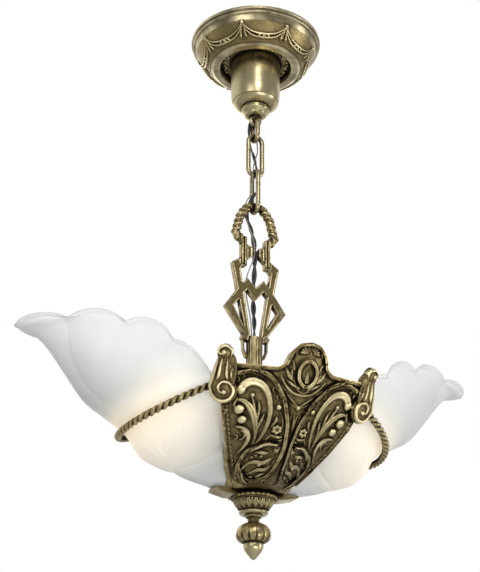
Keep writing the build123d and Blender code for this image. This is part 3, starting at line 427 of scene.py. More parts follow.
SIDES = ((-1, "left"), (1, "right"))
LAMP_TILT, HUB_HEIGHT, BULB_REACH = math.radians(25.0), -438.0 * MM, 0.086
BULB = {
    side: (side * BULB_REACH * math.cos(LAMP_TILT), 0, HUB_HEIGHT + BULB_REACH * math.sin(LAMP_TILT))
    for side, word in SIDES
}
GLASS = {side: satin_glass("satin_glass_" + word, BULB[side]) for side, word in SIDES}
OPAL = bulb_finish()
print("bulb centres", [tuple(round(v, 3) for v in BULB[s]) for s in (-1, 1)])

# %% Dress the solids
WORN_BY = [
    (GROUND, "canopy"), (SPUN, "canopy_bell screw_collar check_ring finial_tip"),
    (CHAIN, "link_1 link_2 link_3"), (CAST, "stem_hanger body_casting bottom_cup finial_knob"),
    (PLAIN, "strap_nut mounting_tube stem_tube lower_tube floor_nut"),
    (PLAIN, "hub_nut_top hub_nut_bottom cluster_hub"),
    (ZINC, "ceiling_strap"), (RUBBER, "supply_lead"), (TINNED, "ground_wire"),
]
WORN_BY_PAIRS = [
    (CAST, "shade_ring"), (PLAIN, "lamp_tube lampholder_screw_shell lampholder_contact"),
    (ALUMINIUM, "lampholder_cap lampholder_shell bulb_base"), (FIBRE, "lampholder_liner"),
    (RUBBER, "lamp_lead"), (OPAL, "bulb_envelope"),
]
FINISH_OF = {name: finish for finish, names in WORN_BY for name in names.split()}
for side, word in SIDES:
    FINISH_OF["glass_shade_" + word] = GLASS[side]
    for finish, stems in WORN_BY_PAIRS:
        FINISH_OF.update({f"{stem}_{word}": finish for stem in stems.split()})


def dress(node_name, finish):
    """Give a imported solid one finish, in every material slot it has."""
    mesh = nodes[node_name].data
    for number in range(len(mesh.materials)):
        mesh.materials[number] = finish
    if not mesh.materials:
        mesh.materials.append(finish)


for node_name in nodes:
    dress(node_name, FINISH_OF[node_name])
print("dressed", len(FINISH_OF), "of", len(nodes))

# %% [markdown]
# New pieces are plain vertex and face lists turned into meshes. Each one takes a finish, and each
# but the lengths of lead names the body it moves with, so it goes along when the chain swings.

# %% Piece helper
def piece(name, verts, faces, finish, body=None, carved=None):
    """Mesh object from lists, smooth shaded, riding on a body."""
    mesh = bpy.data.meshes.new(name)
    mesh.from_pydata([tuple(v) for v in verts], [], [tuple(int(i) for i in f) for f in faces])
    mesh.validate()
    mesh.polygons.foreach_set("use_smooth", [True] * len(mesh.polygons))
    if carved is not None:
        values = mesh.attributes.new("carved", "FLOAT", "POINT").data
        values.foreach_set("value", np.asarray(carved, np.float32))
    mesh.materials.append(finish)
    mesh.update()
    made = bpy.data.objects.new(name, mesh)
    bpy.context.scene.collection.objects.link(made)
    if body:
        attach(made, body)
    return made


def four_mirrored(stem, verts, faces, carved):
    """The front right piece and its three mirror images, all on the fixture."""
    made = []
    for end, flip_y in (("front", 1), ("back", -1)):
        for word, flip_x in (("right", 1), ("left", -1)):
            turned = faces if flip_x == flip_y else faces[:, ::-1]
            placed = verts * np.array((flip_x, flip_y, 1))
            made.append(piece(f"{stem}_{end}_{word}", placed, turned, CARVED, "fixture", carved))
    return made


def unit(vectors):
    """Rows scaled to length one."""
    vectors = np.asarray(vectors, float)
    return vectors / np.maximum(np.linalg.norm(vectors, axis=-1, keepdims=True), 1e-12)


def carried_frames(path):
    """Side and lift along a path, carried from point to point without spin."""
    path = np.asarray(path, float)
    along = unit(np.gradient(path, axis=0))
    side = np.zeros_like(path)
    first = np.cross(along[0], (0.0, 0.0, 1.0))
    if np.linalg.norm(first) < 1e-3:
        first = np.cross(along[0], (0.0, 1.0, 0.0))
    side[0] = unit(first)
    for i in range(1, len(path)):
        side[i] = unit(side[i - 1] - np.dot(side[i - 1], along[i]) * along[i])
    return side, np.cross(along, side)


def round_tube(path, radius, ring=10, closed=False):
    """Vertices and faces of a tube whose radius may change along it."""
    path = np.asarray(path)
    side, lift = carried_frames(path)
    count = len(path)
    radius = np.broadcast_to(np.asarray(radius, float), (count,))
    turn = np.linspace(0, 2 * math.pi, ring, endpoint=False)
    circle = np.cos(turn)[:, None] * side[:, None, :] + np.sin(turn)[:, None] * lift[:, None, :]
    verts = (path[:, None, :] + radius[:, None, None] * circle).reshape(-1, 3)
    rows = np.arange(count * ring).reshape(count, ring)
    rows = np.hstack([rows, rows[:, :1]])
    if closed:
        return verts, woven(rows, np.roll(rows, -1, 0)).tolist()
    first, last = count * ring, count * ring + 1
    faces = woven(rows[:-1], rows[1:]).tolist()
    faces += [(b, a, first) for a, b in zip(rows[0], rows[0, 1:])]
    faces += [(last, a, b) for a, b in zip(rows[-1], rows[-1, 1:])]
    return np.vstack([verts, path[:1], path[-1:]]), faces


def joined(parts):
    """Several vertex and face lists as one."""
    verts, faces, start = [], [], 0
    for part_verts, part_faces in parts:
        verts.append(np.asarray(part_verts))
        faces += [tuple(i + start for i in face) for face in part_faces]
        start += len(part_verts)
    return np.vstack(verts), faces


def path_lengths(path):
    """Distance along a path at each of its points."""
    steps = np.linalg.norm(np.diff(np.asarray(path), axis=0), axis=1)
    return np.concatenate([[0.0], np.cumsum(steps)])


def evenly(path, step):
    """The same path with points a set distance apart."""
    path = np.asarray(path, float)
    far = path_lengths(path)
    marks = np.linspace(0, far[-1], max(2, int(round(far[-1] / step)) + 1))
    return np.stack([np.interp(marks, far, path[:, k]) for k in range(3)], axis=1)


def wound(path, strands, pitch, lay, strand, ring):
    """Strands wound round a path; lay and strand may change along it."""
    side, lift = carried_frames(path)
    far = path_lengths(path)
    parts = []
    for number in range(strands):
        turn = 2 * math.pi * (far / pitch + number / strands)
        way = np.cos(turn)[:, None] * side + np.sin(turn)[:, None] * lift
        parts.append((path + np.reshape(lay, (-1, 1)) * way, strand, ring))
    return parts


print("piece helpers ready")

# %% [markdown]
# The rope rings are castings that copy a twisted rope. Winding two round strands about
# the ring's centre line gives the real lobes and their shadows. The solid half ring
# keeps its place for contact, and the twisted piece stands for it in view.

# %% Rope rings
RING_RADIUS, RING_ROPE, RING_END = 72.3 * MM, 3.4 * MM, 4.9 * MM
RING_CENTRE = Vector((58.3, 0, -401.6)) * MM
RING_TILT = math.radians(26.6)
LUG_REACH = 11.8 * MM
ROPE_PITCH = -13.2 * MM


def ring_line(side):
    """Centre line of a ring, from the front lug round the outer side to the back lug."""
    half = math.sqrt(RING_RADIUS ** 2 - RING_END ** 2)
    start = math.asin(-half / RING_RADIUS)
    arc = [(RING_RADIUS * math.cos(a), RING_RADIUS * math.sin(a)) for a in np.linspace(start, -start, 240)]
    flat = [(RING_END, -half - LUG_REACH)] + arc + [(RING_END, half + LUG_REACH)]
    points = [(side * (RING_CENTRE.x + across * math.cos(RING_TILT)), back,
               RING_CENTRE.z - across * math.sin(RING_TILT)) for across, back in flat]
    return evenly(points, 0.6 * MM)


def make_rope_ring(side, word):
    """Two lobes wound round a ring's line, standing for the solid half ring."""
    strands = wound(ring_line(side), 2, ROPE_PITCH, 0.44 * RING_ROPE, 0.56 * RING_ROPE, 14)
    rope = piece("rope_ring_" + word, *joined(round_tube(*strand) for strand in strands), CAST, "fixture")
    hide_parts("shade_ring_" + word)
    return rope


for side, word in SIDES:
    print(make_rope_ring(side, word).name, round(path_lengths(ring_line(side))[-1], 4), "m")

# %% [markdown]
# The arch of the hanger is a coarse rope too. Its solid is a smooth rod, so raised
# lobes are laid over it, slanting round the rod, with the place where the last link
# hangs left plain.

# %% Rope lobes on the hanger's arch
ARCH_TOP = -190.49
ROPE_RADIUS = 3.75
ARCH_CORNERS = [
    (-20.7, -33.5, 3.9), (-15.4, -11.8, 16.0), (-6.0, 0.0, 8.5), (6.0, 0.0, 8.5), (15.4, -11.8, 16.0),
    (20.7, -33.5, 3.9),
]
ARCH_ENDS = ((-12.8, -39.5), (12.8, -39.5))
LOBES, LOBE_GAP, LOBE_LEAN, LOBE_SIZE, LOBE_SINK, PLAIN_TOP = 8, 6.1, 3.3, 1.95, 0.8, 4.2


def rounded_line(start, corners, end, step=0.4):
    """Line through corners, each eased by its own radius."""
    bare = [np.array(start)] + [np.array(c[:2]) for c in corners] + [np.array(end)]
    line = [bare[0]]
    for before, corner, after, (_, _, radius) in zip(bare, bare[1:], bare[2:], corners):
        into, onto = unit(before - corner), unit(after - corner)
        half = 0.5 * math.acos(float(np.clip(into @ onto, -1, 1)))
        middle = corner + unit(into + onto) * radius / math.sin(half)
        a, b = corner + into * radius / math.tan(half), corner + onto * radius / math.tan(half)
        line += [middle + unit(a + (b - a) * t - middle) * radius for t in np.linspace(0, 1, 14)]
    line.append(bare[-1])
    return evenly([(p[0] * MM, 0.0, (ARCH_TOP + p[1]) * MM) for p in line], step * MM)


def make_arch_lobes():
    """Slanting lobes on both sides of the place where the last link hangs."""
    path = rounded_line(ARCH_ENDS[0], ARCH_CORNERS, ARCH_ENDS[1])
    side, lift = carried_frames(path)
    far = path_lengths(path)
    turns = np.linspace(0, 2 * math.pi, 30)[:-1]
    parts = []
    for half in (-1, 1):
        for number in range(LOBES):
            centre = far[-1] / 2 + half * (PLAIN_TOP + LOBE_GAP * (number + 0.5)) * MM
            places = centre + half * LOBE_LEAN * MM * np.sin(turns)
            row = np.clip(np.searchsorted(far, places), 1, len(far) - 1)
            out = np.cos(turns)[:, None] * side[row] + np.sin(turns)[:, None] * lift[row]
            spots = path[row] + out * (ROPE_RADIUS - LOBE_SINK) * MM
            parts.append(round_tube(spots, LOBE_SIZE * MM, 10, closed=True))
    return piece("arch_rope_lobes", *joined(parts), CAST, "fixture")


print(make_arch_lobes().name)

# %% [markdown]
# The supply lead is two insulated wires twisted together, with a bare ground wire beside
# it, woven through the links. Each crosses four joints, so it is cut into one length for
# each joint, and the twist runs on across the cuts.

# %% Lead routes
LEAD_ROUTE = [
    (-1.2, 1.2, -1), (-1.3, 1.1, -38), (-1.1, 1.2, -80), (-3.1, 3.8, -87.2), (-4.5, 4.6, -96),
    (-4.9, 4.9, -109),
    (-4.6, 4.5, -119), (-1.9, 1.6, -129.5), (1.2, 1.8, -140), (4.7, 4.7, -150.5), (5.0, 4.9, -161),
    (3.2, 1.0, -171.5),
    (-2.2, 0.3, -180), (-5.4, 5.1, -187), (-5.9, 6.5, -196), (-4.2, 4.2, -208), (-1.4, 1.2, -222),
    (0.4, 0.2, -238),
    (0.5, 0.9, -254), (1.6, 5.3, -268), (1.4, 5.9, -283), (0.8, 4.4, -298), (0.4, 0.9, -312),
    (0, 0.1, -326),
    (0.1, 0, -342), (0, 0.1, -372), (0.1, 0, -402), (0, 0, -433),
]
GROUND_ROUTE = [
    (2.2, 1.3, -1), (2.3, 1.4, -38), (2.1, 1.3, -80), (3.4, 3.4, -87.2), (3.9, 3.7, -96), (4.0, 3.6, -109),
    (3.6, 3.7, -118), (2.4, -1.3, -129.5), (-1.6, -2.3, -140), (-3.9, -4.0, -151), (-4.0, -3.8, -161),
    (-3.5, -2.2, -170),
    (-4.6, -1.6, -178), (-8.8, 3.2, -186.5), (-9.2, 5.6, -196), (-7.0, 2.6, -208), (-3.2, -1.4, -222),
    (-0.9, -2.6, -236),
    (-1.7, -2.4, -248), (-4.8, 0.8, -257.5), (-7.0, 4.6, -267), (-7.2, 4.8, -280), (-5.0, 4.0, -294),
    (-3.6, 1.2, -308),
    (-2.6, 0.1, -324), (-2.4, -0.2, -340), (-2.5, 0, -370), (-2.4, -0.1, -400), (-2.4, 0, -431),
]


def spline_points(name, route):
    """Points read along a smooth spline through a route given in millimetres."""
    data = bpy.data.curves.new(name, "CURVE")
    data.dimensions = "3D"
    data.resolution_u = 24
    line = data.splines.new("NURBS")
    line.points.add(len(route) - 1)
    for spot, place in zip(line.points, route):
        spot.co = (place[0] * MM, place[1] * MM, place[2] * MM, 1.0)
    line.order_u = 3
    line.use_endpoint_u = True
    guide = bpy.data.objects.new(name, data)
    bpy.context.scene.collection.objects.link(guide)
    bpy.context.view_layer.update()
    mesh = bpy.data.meshes.new_from_object(guide.evaluated_get(bpy.context.evaluated_depsgraph_get()))
    points = np.array([v.co for v in mesh.vertices])
    bpy.data.objects.remove(guide)
    bpy.data.meshes.remove(mesh)
    return points


LEAD_LINE = evenly(spline_points("lead_guide", LEAD_ROUTE), 0.8 * MM)
GROUND_LINE = evenly(spline_points("ground_guide", GROUND_ROUTE), 0.8 * MM)
print("lead", round(path_lengths(LEAD_LINE)[-1], 4), "ground", round(path_lengths(GROUND_LINE)[-1], 4))

# %% Lead lengths across the joints
CUTS = [0.0, -0.106, -0.136, -0.176, -1.0]
BENDS = [
    ("ceiling_mount", "first_link", -0.089, -0.105), ("first_link", "second_link", -0.107, -0.135),
    ("second_link", "third_link", -0.137, -0.175), ("third_link", "fixture", -0.177, -0.212),
]
SLACK_AT, SLACK = (0.205, 0.222, 0.306, 0.322), (0, 1, 1, 0)


def lead_in_lengths(name, line, strands, pitch, lay, strand, finish, node_name, swell=0.0):
    """Twisted strands along a line, cut between the joints.

    The strands swell where they hang free inside the hanger, as slack insulation does.
    """
    loose = 1 + swell * np.interp(-line[:, 2], SLACK_AT, SLACK)
    twisted = wound(line, strands, pitch, lay * loose, strand * loose, 10)
    for number, (upper, lower, begin, end) in enumerate(BENDS):
        rows = np.where((line[:, 2] <= CUTS[number]) & (line[:, 2] >= CUTS[number + 1]))[0]
        part = slice(rows.min(), min(rows.max() + 1, len(line) - 1) + 1)
        parts = [round_tube(centre[part], thick[part], ring) for centre, thick, ring in twisted]
        length = piece(f"{name}_{number + 1}", *joined(parts), finish)
        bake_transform(length)
        if number == 0:
            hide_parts(node_name)
    return len(BENDS)


print("lead lengths", lead_in_lengths(
    "twisted_lead", LEAD_LINE, 2, 34 * MM, 0.78 * MM, 0.82 * MM, RUBBER, "supply_lead", 0.6))
print("ground lengths", lead_in_lengths(
    "ground_strand", GROUND_LINE, 3, 7 * MM, 0.33 * MM, 0.36 * MM, TINNED, "ground_wire"))

# %% [markdown]
# The ornament on the two panels was carved once as a pattern and cast. Here it is a
# height map drawn with strokes: every leaf, scroll and bead is a short list of points
# with a half-width at each. The map is laid on the body by casting rays from the front
# and below, and the result is a thin skin that shares the casting's own curves.

# %% Stroke tools
VEIN_WIDTH = 0.16


def between(a, b, c, d, share):
    """Point between b and c on a smooth curve through four points."""
    rise = (c - a) * share + (2 * a - 5 * b + 4 * c - d) * share ** 2 + (3 * b - a - 3 * c + d) * share ** 3
    return 0.5 * (2 * b + rise)


def eased(points, step=0.35):
    """Smooth line through (across, up, half width) points, a set distance apart."""
    points = np.array(points, float)
    if len(points) == 1:
        return points
    ends = np.vstack([2 * points[0] - points[1], points, 2 * points[-1] - points[-2]])
    line = []
    for i in range(1, len(ends) - 2):
        a, b, c, d = ends[i - 1:i + 3]
        count = max(2, int(np.linalg.norm((c - b)[:2]) / step))
        for t in np.linspace(0, 1, count, endpoint=False):
            line.append(between(a, b, c, d, t))
    line.append(points[-1])
    line = np.array(line)
    line[:, 2] = np.maximum(line[:, 2], 0.05)
    return line


class Carving:
    """Height map over a flat patch, raised stroke by stroke."""

    def __init__(self, across, up):
        self.across, self.up = np.meshgrid(across, up, indexing="ij")
        self.height = np.zeros_like(self.across)

    def stroke(self, points, height, vein=0.0, lobes=0.0, flat=0.0):
        """Ridge along a line: rounded, or with a vein, lobed edges or a flat top."""
        line = eased(points)
        reach = line[:, 2].max() + 0.6
        near = (self.across > line[:, 0].min() - reach) & (self.across < line[:, 0].max() + reach)
        near &= (self.up > line[:, 1].min() - reach) & (self.up < line[:, 1].max() + reach)
        spots = np.stack([self.across[near], self.up[near]], axis=1)
        if not len(spots):
            return
        gaps = np.linalg.norm(spots[:, None, :] - line[None, :, :2], axis=2)
        width = line[None, :, 2]
        if lobes:
            far = path_lengths(line[:, :2])
            width = width * (0.72 + 0.28 * np.abs(np.sin(math.pi * far / lobes)))[None, :]
        share = gaps / width
        best = share.argmin(axis=1)
        rows = np.arange(len(spots))
        share = share[rows, best]
        tall = height * (0.45 + 0.55 * np.minimum(1.0, line[best, 2] / line[:, 2].max()))
        shape = np.sqrt(np.clip(1 - share ** 2, 0, 1))
        if flat:
            shape = np.minimum(shape, flat + (1 - flat) * share ** 2)
        if vein:
            shape *= 1 - vein * np.exp(-(share / VEIN_WIDTH) ** 2)
        self.height[near] = np.maximum(self.height[near], tall * shape)

    def dome(self, across, up, radius, height, hole=0.0):
        """Round bead, or with a hole in its middle."""
        share = np.hypot(self.across - across, self.up - up) / radius
        shape = np.sqrt(np.clip(1 - share ** 2, 0, 1))
        if hole:
            shape *= 1 - np.exp(-(share / hole) ** 4)
        self.height = np.maximum(self.height, height * shape)

    def blossom(self, across, up, radius, height, petals=6):
        """Small open flower."""
        for number in range(petals):
            angle = 2 * math.pi * number / petals + 0.4
            out, over = 0.62 * radius * math.cos(angle), 0.62 * radius * math.sin(angle)
            self.dome(across + out, up + over, 0.42 * radius, 0.8 * height)
        self.dome(across, up, 0.34 * radius, height, hole=0.45)


print("stroke tools ready")

# %% Panel strokes
PANEL_SCROLLS = {
    "c_scroll": [
        (49.0, -343.7, 3.2), (48.7, -339.5, 3.8), (44.4, -335.6, 4.0), (38.5, -334.8, 3.8),
        (32.5, -337.2, 3.4), (27.6, -342.8, 2.8), (23.9, -350.1, 2.5), (21.6, -357.7, 2.3),
        (20.8, -365.6, 2.0), (21.4, -373.9, 1.7), (23.3, -382.4, 1.4), (25.4, -389.2, 1.1),
        (27.0, -393.0, 0.7),
    ],
    "small_scroll": [
        (45.0, -374.5, 1.0), (40.0, -374.7, 1.7), (35.2, -377.2, 2.1), (32.6, -381.3, 2.1),
        (31.9, -386.4, 1.7), (32.9, -390.9, 1.3), (34.4, -395.4, 1.0), (35.8, -398.7, 0.6),
    ],
    "small_curl": [
        (38.4, -385.3, 0.6), (36.1, -383.6, 0.9), (35.8, -380.2, 1.0), (38.1, -377.5, 1.0),
        (40.6, -377.5, 0.6),
    ],
    "low_scroll": [
        (26.6, -395.1, 1.0), (23.5, -390.6, 1.5), (19.7, -387.1, 1.6), (15.1, -384.6, 1.6),
        (9.9, -384.1, 1.6), (6.2, -386.3, 1.4), (5.7, -389.9, 1.1), (7.7, -391.0, 0.9),
    ],
    "low_curve": [
        (18.1, -423.5, 0.8), (22.9, -419.9, 0.95), (25.7, -414.7, 0.95), (26.1, -409.3, 0.9),
        (24.3, -405.1, 0.5),
    ],
}
PANEL_LEAVES = {
    "long_leaf": [
        (51.9, -353.4, 0.8), (48.8, -351.6, 1.7), (42.6, -353.5, 2.9), (36.3, -359.2, 3.4),
        (31.6, -367.5, 2.9), (28.5, -375.2, 2.1), (27.1, -382.1, 1.3), (26.5, -389.4, 0.8),
    ],
    "blade_a": [(39.4, -347.6, 1.1), (37.0, -352.3, 1.3), (34.2, -357.8, 1.0), (30.8, -364.3, 0.4)],
    "blade_b": [(33.5, -349.8, 0.5), (31.4, -355.4, 1.4), (30.3, -362.2, 1.1), (29.2, -368.6, 0.4)],
    "blade_c": [(25.8, -359.4, 0.4), (26.5, -364.4, 1.4), (27.2, -369.8, 1.1), (27.6, -375.2, 0.4)],
    "curl_leaf": [(50.2, -359.8, 0.6), (52.0, -355.9, 1.3), (51.6, -351.9, 1.1), (51.1, -348.3, 0.3)],
    "side_leaf_a": [(18.0, -371.2, 0.4), (16.2, -367.3, 1.3), (15.0, -363.6, 1.5), (15.5, -360.1, 0.5)],
    "side_leaf_b": [(16.0, -377.0, 0.8), (12.3, -377.8, 1.4), (8.6, -377.8, 1.5), (5.4, -376.0, 0.6)],
    "side_leaf_c": [(9.1, -380.8, 0.6), (6.5, -380.1, 1.3), (4.1, -378.8, 0.5)],
    "side_leaf_d": [(7.7, -362.3, 0.4), (7.4, -366.3, 1.1), (5.8, -370.0, 0.5)],
    "low_leaf_a": [(22.9, -394.1, 0.8), (19.1, -393.3, 1.9), (14.9, -393.5, 1.9), (11.9, -391.8, 0.5)],
    "low_leaf_b": [
        (25.4, -410.1, 0.6), (23.8, -405.2, 1.5), (19.4, -402.6, 2.1), (14.5, -402.6, 2.3),
        (10.5, -399.0, 1.7), (7.1, -395.0, 0.5),
    ],
    "low_leaf_c": [
        (21.4, -415.4, 0.6), (18.2, -412.3, 1.5), (14.6, -409.2, 2.1), (10.0, -407.6, 1.9),
        (7.0, -402.7, 0.5),
    ],
    "low_leaf_d": [(17.5, -420.0, 0.6), (13.8, -417.1, 1.5), (11.4, -413.0, 1.5), (8.6, -411.2, 0.5)],
    "crest_leaf_a": [(19.1, -317.3, 0.4), (16.8, -321.3, 1.5), (14.0, -325.7, 1.9), (9.3, -329.7, 0.6)],
    "crest_leaf_b": [(15.6, -328.9, 0.5), (12.4, -330.7, 1.5), (8.1, -332.9, 1.5), (4.5, -333.8, 0.5)],
    "crest_leaf_c": [(12.7, -318.6, 0.4), (12.8, -322.5, 1.1), (11.4, -326.7, 0.5)],
    "oval_leaf": [(0.0, -317.3, 0.4), (0.0, -323.2, 1.3), (0.0, -328.1, 2.2), (0.0, -331.4, 1.2)],
}
PANEL_LINES = {
    "bud_stem": [(13.5, -355.8, 0.6), (10.0, -361.7, 0.9), (8.3, -368.5, 0.9), (8.2, -374.0, 0.6)],
    "joint_stem": [(15.4, -376.9, 0.9), (17.8, -381.2, 1.1), (20.8, -386.0, 1.1), (23.9, -390.9, 0.8)],
    "border": [
        (56.4, -324.8, 0.9), (48.4, -324.9, 0.95), (38.7, -326.6, 0.95), (28.8, -329.2, 0.95),
        (20.3, -333.6, 0.95), (14.3, -337.7, 0.8),
    ],
    "border_low": [(54.3, -328.3, 0.5), (47.4, -327.8, 0.6), (38.3, -328.7, 0.6), (29.2, -331.7, 0.5)],
    "prow_rib": [(11.4, -341.0, 0.9), (6.7, -345.1, 1.1), (1.2, -349.9, 0.9)],
    "prow_rib_b": [(8.4, -347.4, 0.5), (5.0, -349.3, 0.8), (0.8, -351.4, 0.6)],
    "prow_blade_a": [(4.6, -356.2, 0.4), (3.4, -364.4, 1.0), (1.8, -372.6, 0.3)],
    "prow_blade_b": [(1.4, -354.7, 0.4), (0.6, -364.0, 0.9), (0.2, -372.4, 0.3)],
    "crest_s": [
        (17.1, -310.8, 0.8), (13.3, -313.8, 1.1), (10.6, -320.9, 1.1), (9.0, -328.2, 1.1),
        (4.9, -335.5, 1.05), (0.5, -337.9, 0.8),
    ],
    "crest_frame": [(20.8, -326.1, 1.1), (15.7, -332.8, 1.4), (8.5, -338.5, 1.5), (0.3, -340.2, 1.5)],
    "crest_top": [(12.4, -306.2, 0.9), (9.2, -300.7, 1.1), (4.8, -297.8, 1.1), (0.0, -296.6, 1.1)],
    "foot_line": [(24.7, -427.4, 0.8), (16.0, -429.5, 0.8), (7.5, -428.6, 0.8), (0.0, -425.3, 0.8)],
}
PANEL_BEADS = [
    (50.2, -343.3, 4.4, 2.6), (47.1, -359.6, 4.4, 2.8), (42.2, -367.9, 3.9, 2.6), (15.6, -352.7, 2.7, 1.7),
    (7.8, -388.7, 2.1, 1.5),
    (23.4, -399.1, 1.5, 1.2), (20.9, -396.7, 1.4, 1.2), (16.8, -396.9, 1.6, 1.3), (17.2, -417.3, 1.8, 1.3),
    (20.4, -418.7, 1.3, 1.1),
    (15.5, -404.6, 1.9, 1.6), (0.0, -351.1, 2.3, 1.6), (0.7, -333.1, 1.7, 1.5), (4.5, -333.7, 1.9, 1.5),
    (39.5, -346.0, 2.2, 1.6),
]
print("strokes", len(PANEL_SCROLLS) + len(PANEL_LEAVES) + len(PANEL_LINES), "beads", len(PANEL_BEADS))

# %% Carve the panel map
GRAIN = 0.55
PANEL_LOOK = math.radians(24.0)
PANEL_WIDTH, PANEL_FOOT, PANEL_HEAD = 74.0, -430.0, -295.0
EDGE_LEAVES, EDGE_TOP, EDGE_FOOT, EDGE_BOW = 22, (63.0, -343.0), (25.5, -424.0), 3.4
EDGE_LEAF = [(1.2, 1.6, 0.5), (-0.4, 0.0, 1.15), (-0.9, -1.8, 0.5)]
CURL_TRIES, CURL_ROOM = 260, 4
CURL = ((3.4, 0.0, 0.3), (3.0, 0.7, 0.8), (2.4, 1.5, 1.0), (1.7, 2.5, 0.8), (1.0, 3.6, 0.6))
FAN_RIBS, FAN_STEP, FAN_HEIGHT = 5, 22, -304.5


def carve_edge(map_):
    """Small slanting leaves down the panel's outer edge, which bows a little."""
    for share in np.linspace(0, 1, EDGE_LEAVES):
        across, up = np.array(EDGE_TOP) + share * (np.array(EDGE_FOOT) - EDGE_TOP)
        across += EDGE_BOW * math.sin(math.pi * share)
        map_.stroke([(across + x, up + y, w) for x, y, w in EDGE_LEAF], 0.9)


def carve_curls(map_):
    """Small curls at random wherever the ground is still free."""
    chance = np.random.default_rng(19)
    for _ in range(CURL_TRIES):
        across, up = chance.uniform(3.0, 66.0), chance.uniform(-424.0, -322.0)
        row, column = int(across / GRAIN), int((up - PANEL_FOOT) / GRAIN)
        rows, columns = (slice(max(0, at - CURL_ROOM), at + CURL_ROOM + 1) for at in (row, column))
        turn, bow = chance.uniform(0, 2 * math.pi), chance.choice((-1, 1))
        if map_.height[rows, columns].max() < 0.25:
            curl = [(across + r * math.cos(turn + bow * a), up + r * math.sin(turn + bow * a), w)
                    for r, a, w in CURL]
            map_.stroke(curl, 0.85 + 0.5 * chance.random(), vein=0.25)
            map_.dome(across, up, 0.8, 1.1)


def soft_noise(shape):
    """Random heights, each averaged twice with its neighbours."""
    noise_map = np.random.default_rng(7).normal(0, 1, shape)
    for _ in range(2):
        noise_map = (noise_map + np.roll(noise_map, 1, 0) + np.roll(noise_map, -1, 0)
                     + np.roll(noise_map, 1, 1) + np.roll(noise_map, -1, 1)) / 5
    return noise_map


def carve_panel():
    """Height map for the right half of a panel, in millimetres."""
    up = np.arange(PANEL_FOOT, PANEL_HEAD + 0.1, GRAIN)
    map_ = Carving(np.arange(0.0, PANEL_WIDTH + 0.01, GRAIN), up)
    for line in PANEL_LINES.values():
        map_.stroke(line, 0.9)
    for leaf in PANEL_LEAVES.values():
        map_.stroke(leaf, 1.5, vein=0.35, lobes=2.6)
    for scroll in PANEL_SCROLLS.values():
        map_.stroke(scroll, 1.9, flat=0.72)
    for across, up, radius, height in PANEL_BEADS:
        map_.dome(across, up, radius, height)
    map_.blossom(12.2, -371.7, 4.4, 1.9)
    carve_edge(map_)
    carve_curls(map_)
    for number in range(FAN_RIBS):
        out, over = (f(math.radians(90 - FAN_STEP * number)) for f in (math.cos, math.sin))
        ends = [(2.6 * out, FAN_HEIGHT + 2.6 * over, 0.5), (8.2 * out, FAN_HEIGHT + 6.4 * over, 1.35)]
        map_.stroke(ends, 1.5)
    return map_, soft_noise(map_.height.shape)


PANEL_MAP, PANEL_NOISE = carve_panel()
print("panel map", PANEL_MAP.height.shape, "tallest", round(float(PANEL_MAP.height.max()), 2), "mm")

# %% Lay the map on the casting
def ray_hits(tree, starts, way, limit):
    """First hit and its normal for rows of starting points."""
    spots = np.full((len(starts), 3), np.nan)
    normals = np.zeros((len(starts), 3))
    for i, start in enumerate(starts):
        hit, normal, _, _ = tree.ray_cast(Vector(start), Vector(way), limit)
        if hit is not None:
            spots[i], normals[i] = hit, normal
    return spots, normals


def solid_tree(node_name):
    """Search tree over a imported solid's faces."""
    mesh = nodes[node_name].data
    return BVHTree.FromPolygons([v.co for v in mesh.vertices], [p.vertices for p in mesh.polygons])


def eroded(mask):
    """Mask without its outermost cells."""
    small = mask.copy()
    small[1:] &= mask[:-1]
    small[:-1] &= mask[1:]
    small[:, 1:] &= mask[:, :-1]
    small[:, :-1] &= mask[:, 1:]
    return small


def torn(depth, limit):
    """Cells beside a step in depth, where a skin would stretch over an edge."""
    jump = np.zeros(depth.shape, bool)
    for one in (jump, depth), (jump.T, depth.T):
        step = np.abs(np.diff(one[1], axis=0)) > limit
        one[0][:-1] |= step
        one[0][1:] |= step
    return jump


def trimmed(verts, faces, extra):
    """Only the vertices that faces use."""
    used = np.unique(faces)
    place = np.full(len(verts), -1)
    place[used] = np.arange(len(used))
    return verts[used], place[faces], extra[used]


def lay_panel_skin():
    """Skin of carved ornament on the front right half panel, and its mirror images."""
    look = np.array((0.0, math.cos(PANEL_LOOK), math.sin(PANEL_LOOK)))
    over = np.array((0.0, -math.sin(PANEL_LOOK), math.cos(PANEL_LOOK)))
    across, up = PANEL_MAP.across * MM, PANEL_MAP.up * MM
    starts = across[..., None] * np.array((1.0, 0, 0)) + up[..., None] * over - 0.35 * look
    spots, normals = ray_hits(solid_tree("body_casting"), starts.reshape(-1, 3), look, 0.6)
    depth = (spots @ look).reshape(across.shape)
    facing = (-(normals @ look)).reshape(across.shape)
    front = spots[:, 1].reshape(across.shape)
    kept = ~np.isnan(depth) & (facing > 0.22) & (front < -18.0 * MM)
    kept &= ~torn(depth, 1.6 * MM)
    height = 1.25 * PANEL_MAP.height + 0.05 + 0.09 * PANEL_NOISE
    height = np.where(eroded(kept), height, -0.25) * MM
    raised = np.clip(0.08 + 0.80 * PANEL_MAP.height / 1.6, -0.1, 1.2)
    slope = sum(np.abs(np.gradient(PANEL_MAP.height, axis=axis)) for axis in (0, 1))
    raised = raised - 0.12 * np.clip(slope, 0, 2)
    verts = spots - look * height.reshape(-1, 1)
    return four_mirrored("panel_ornament", *trimmed(verts, grid_faces(kept), raised.ravel()))


print([(o.name, len(o.data.vertices)) for o in lay_panel_skin()])

# %% [markdown]
# The hanger's bars are flat on their faces apart from a raised edge and a fine slanting
# hatch between the edges. Both come from how far a place is from the bar's outline, so
# the pattern follows every bar and corner by itself, on the front and on the back.

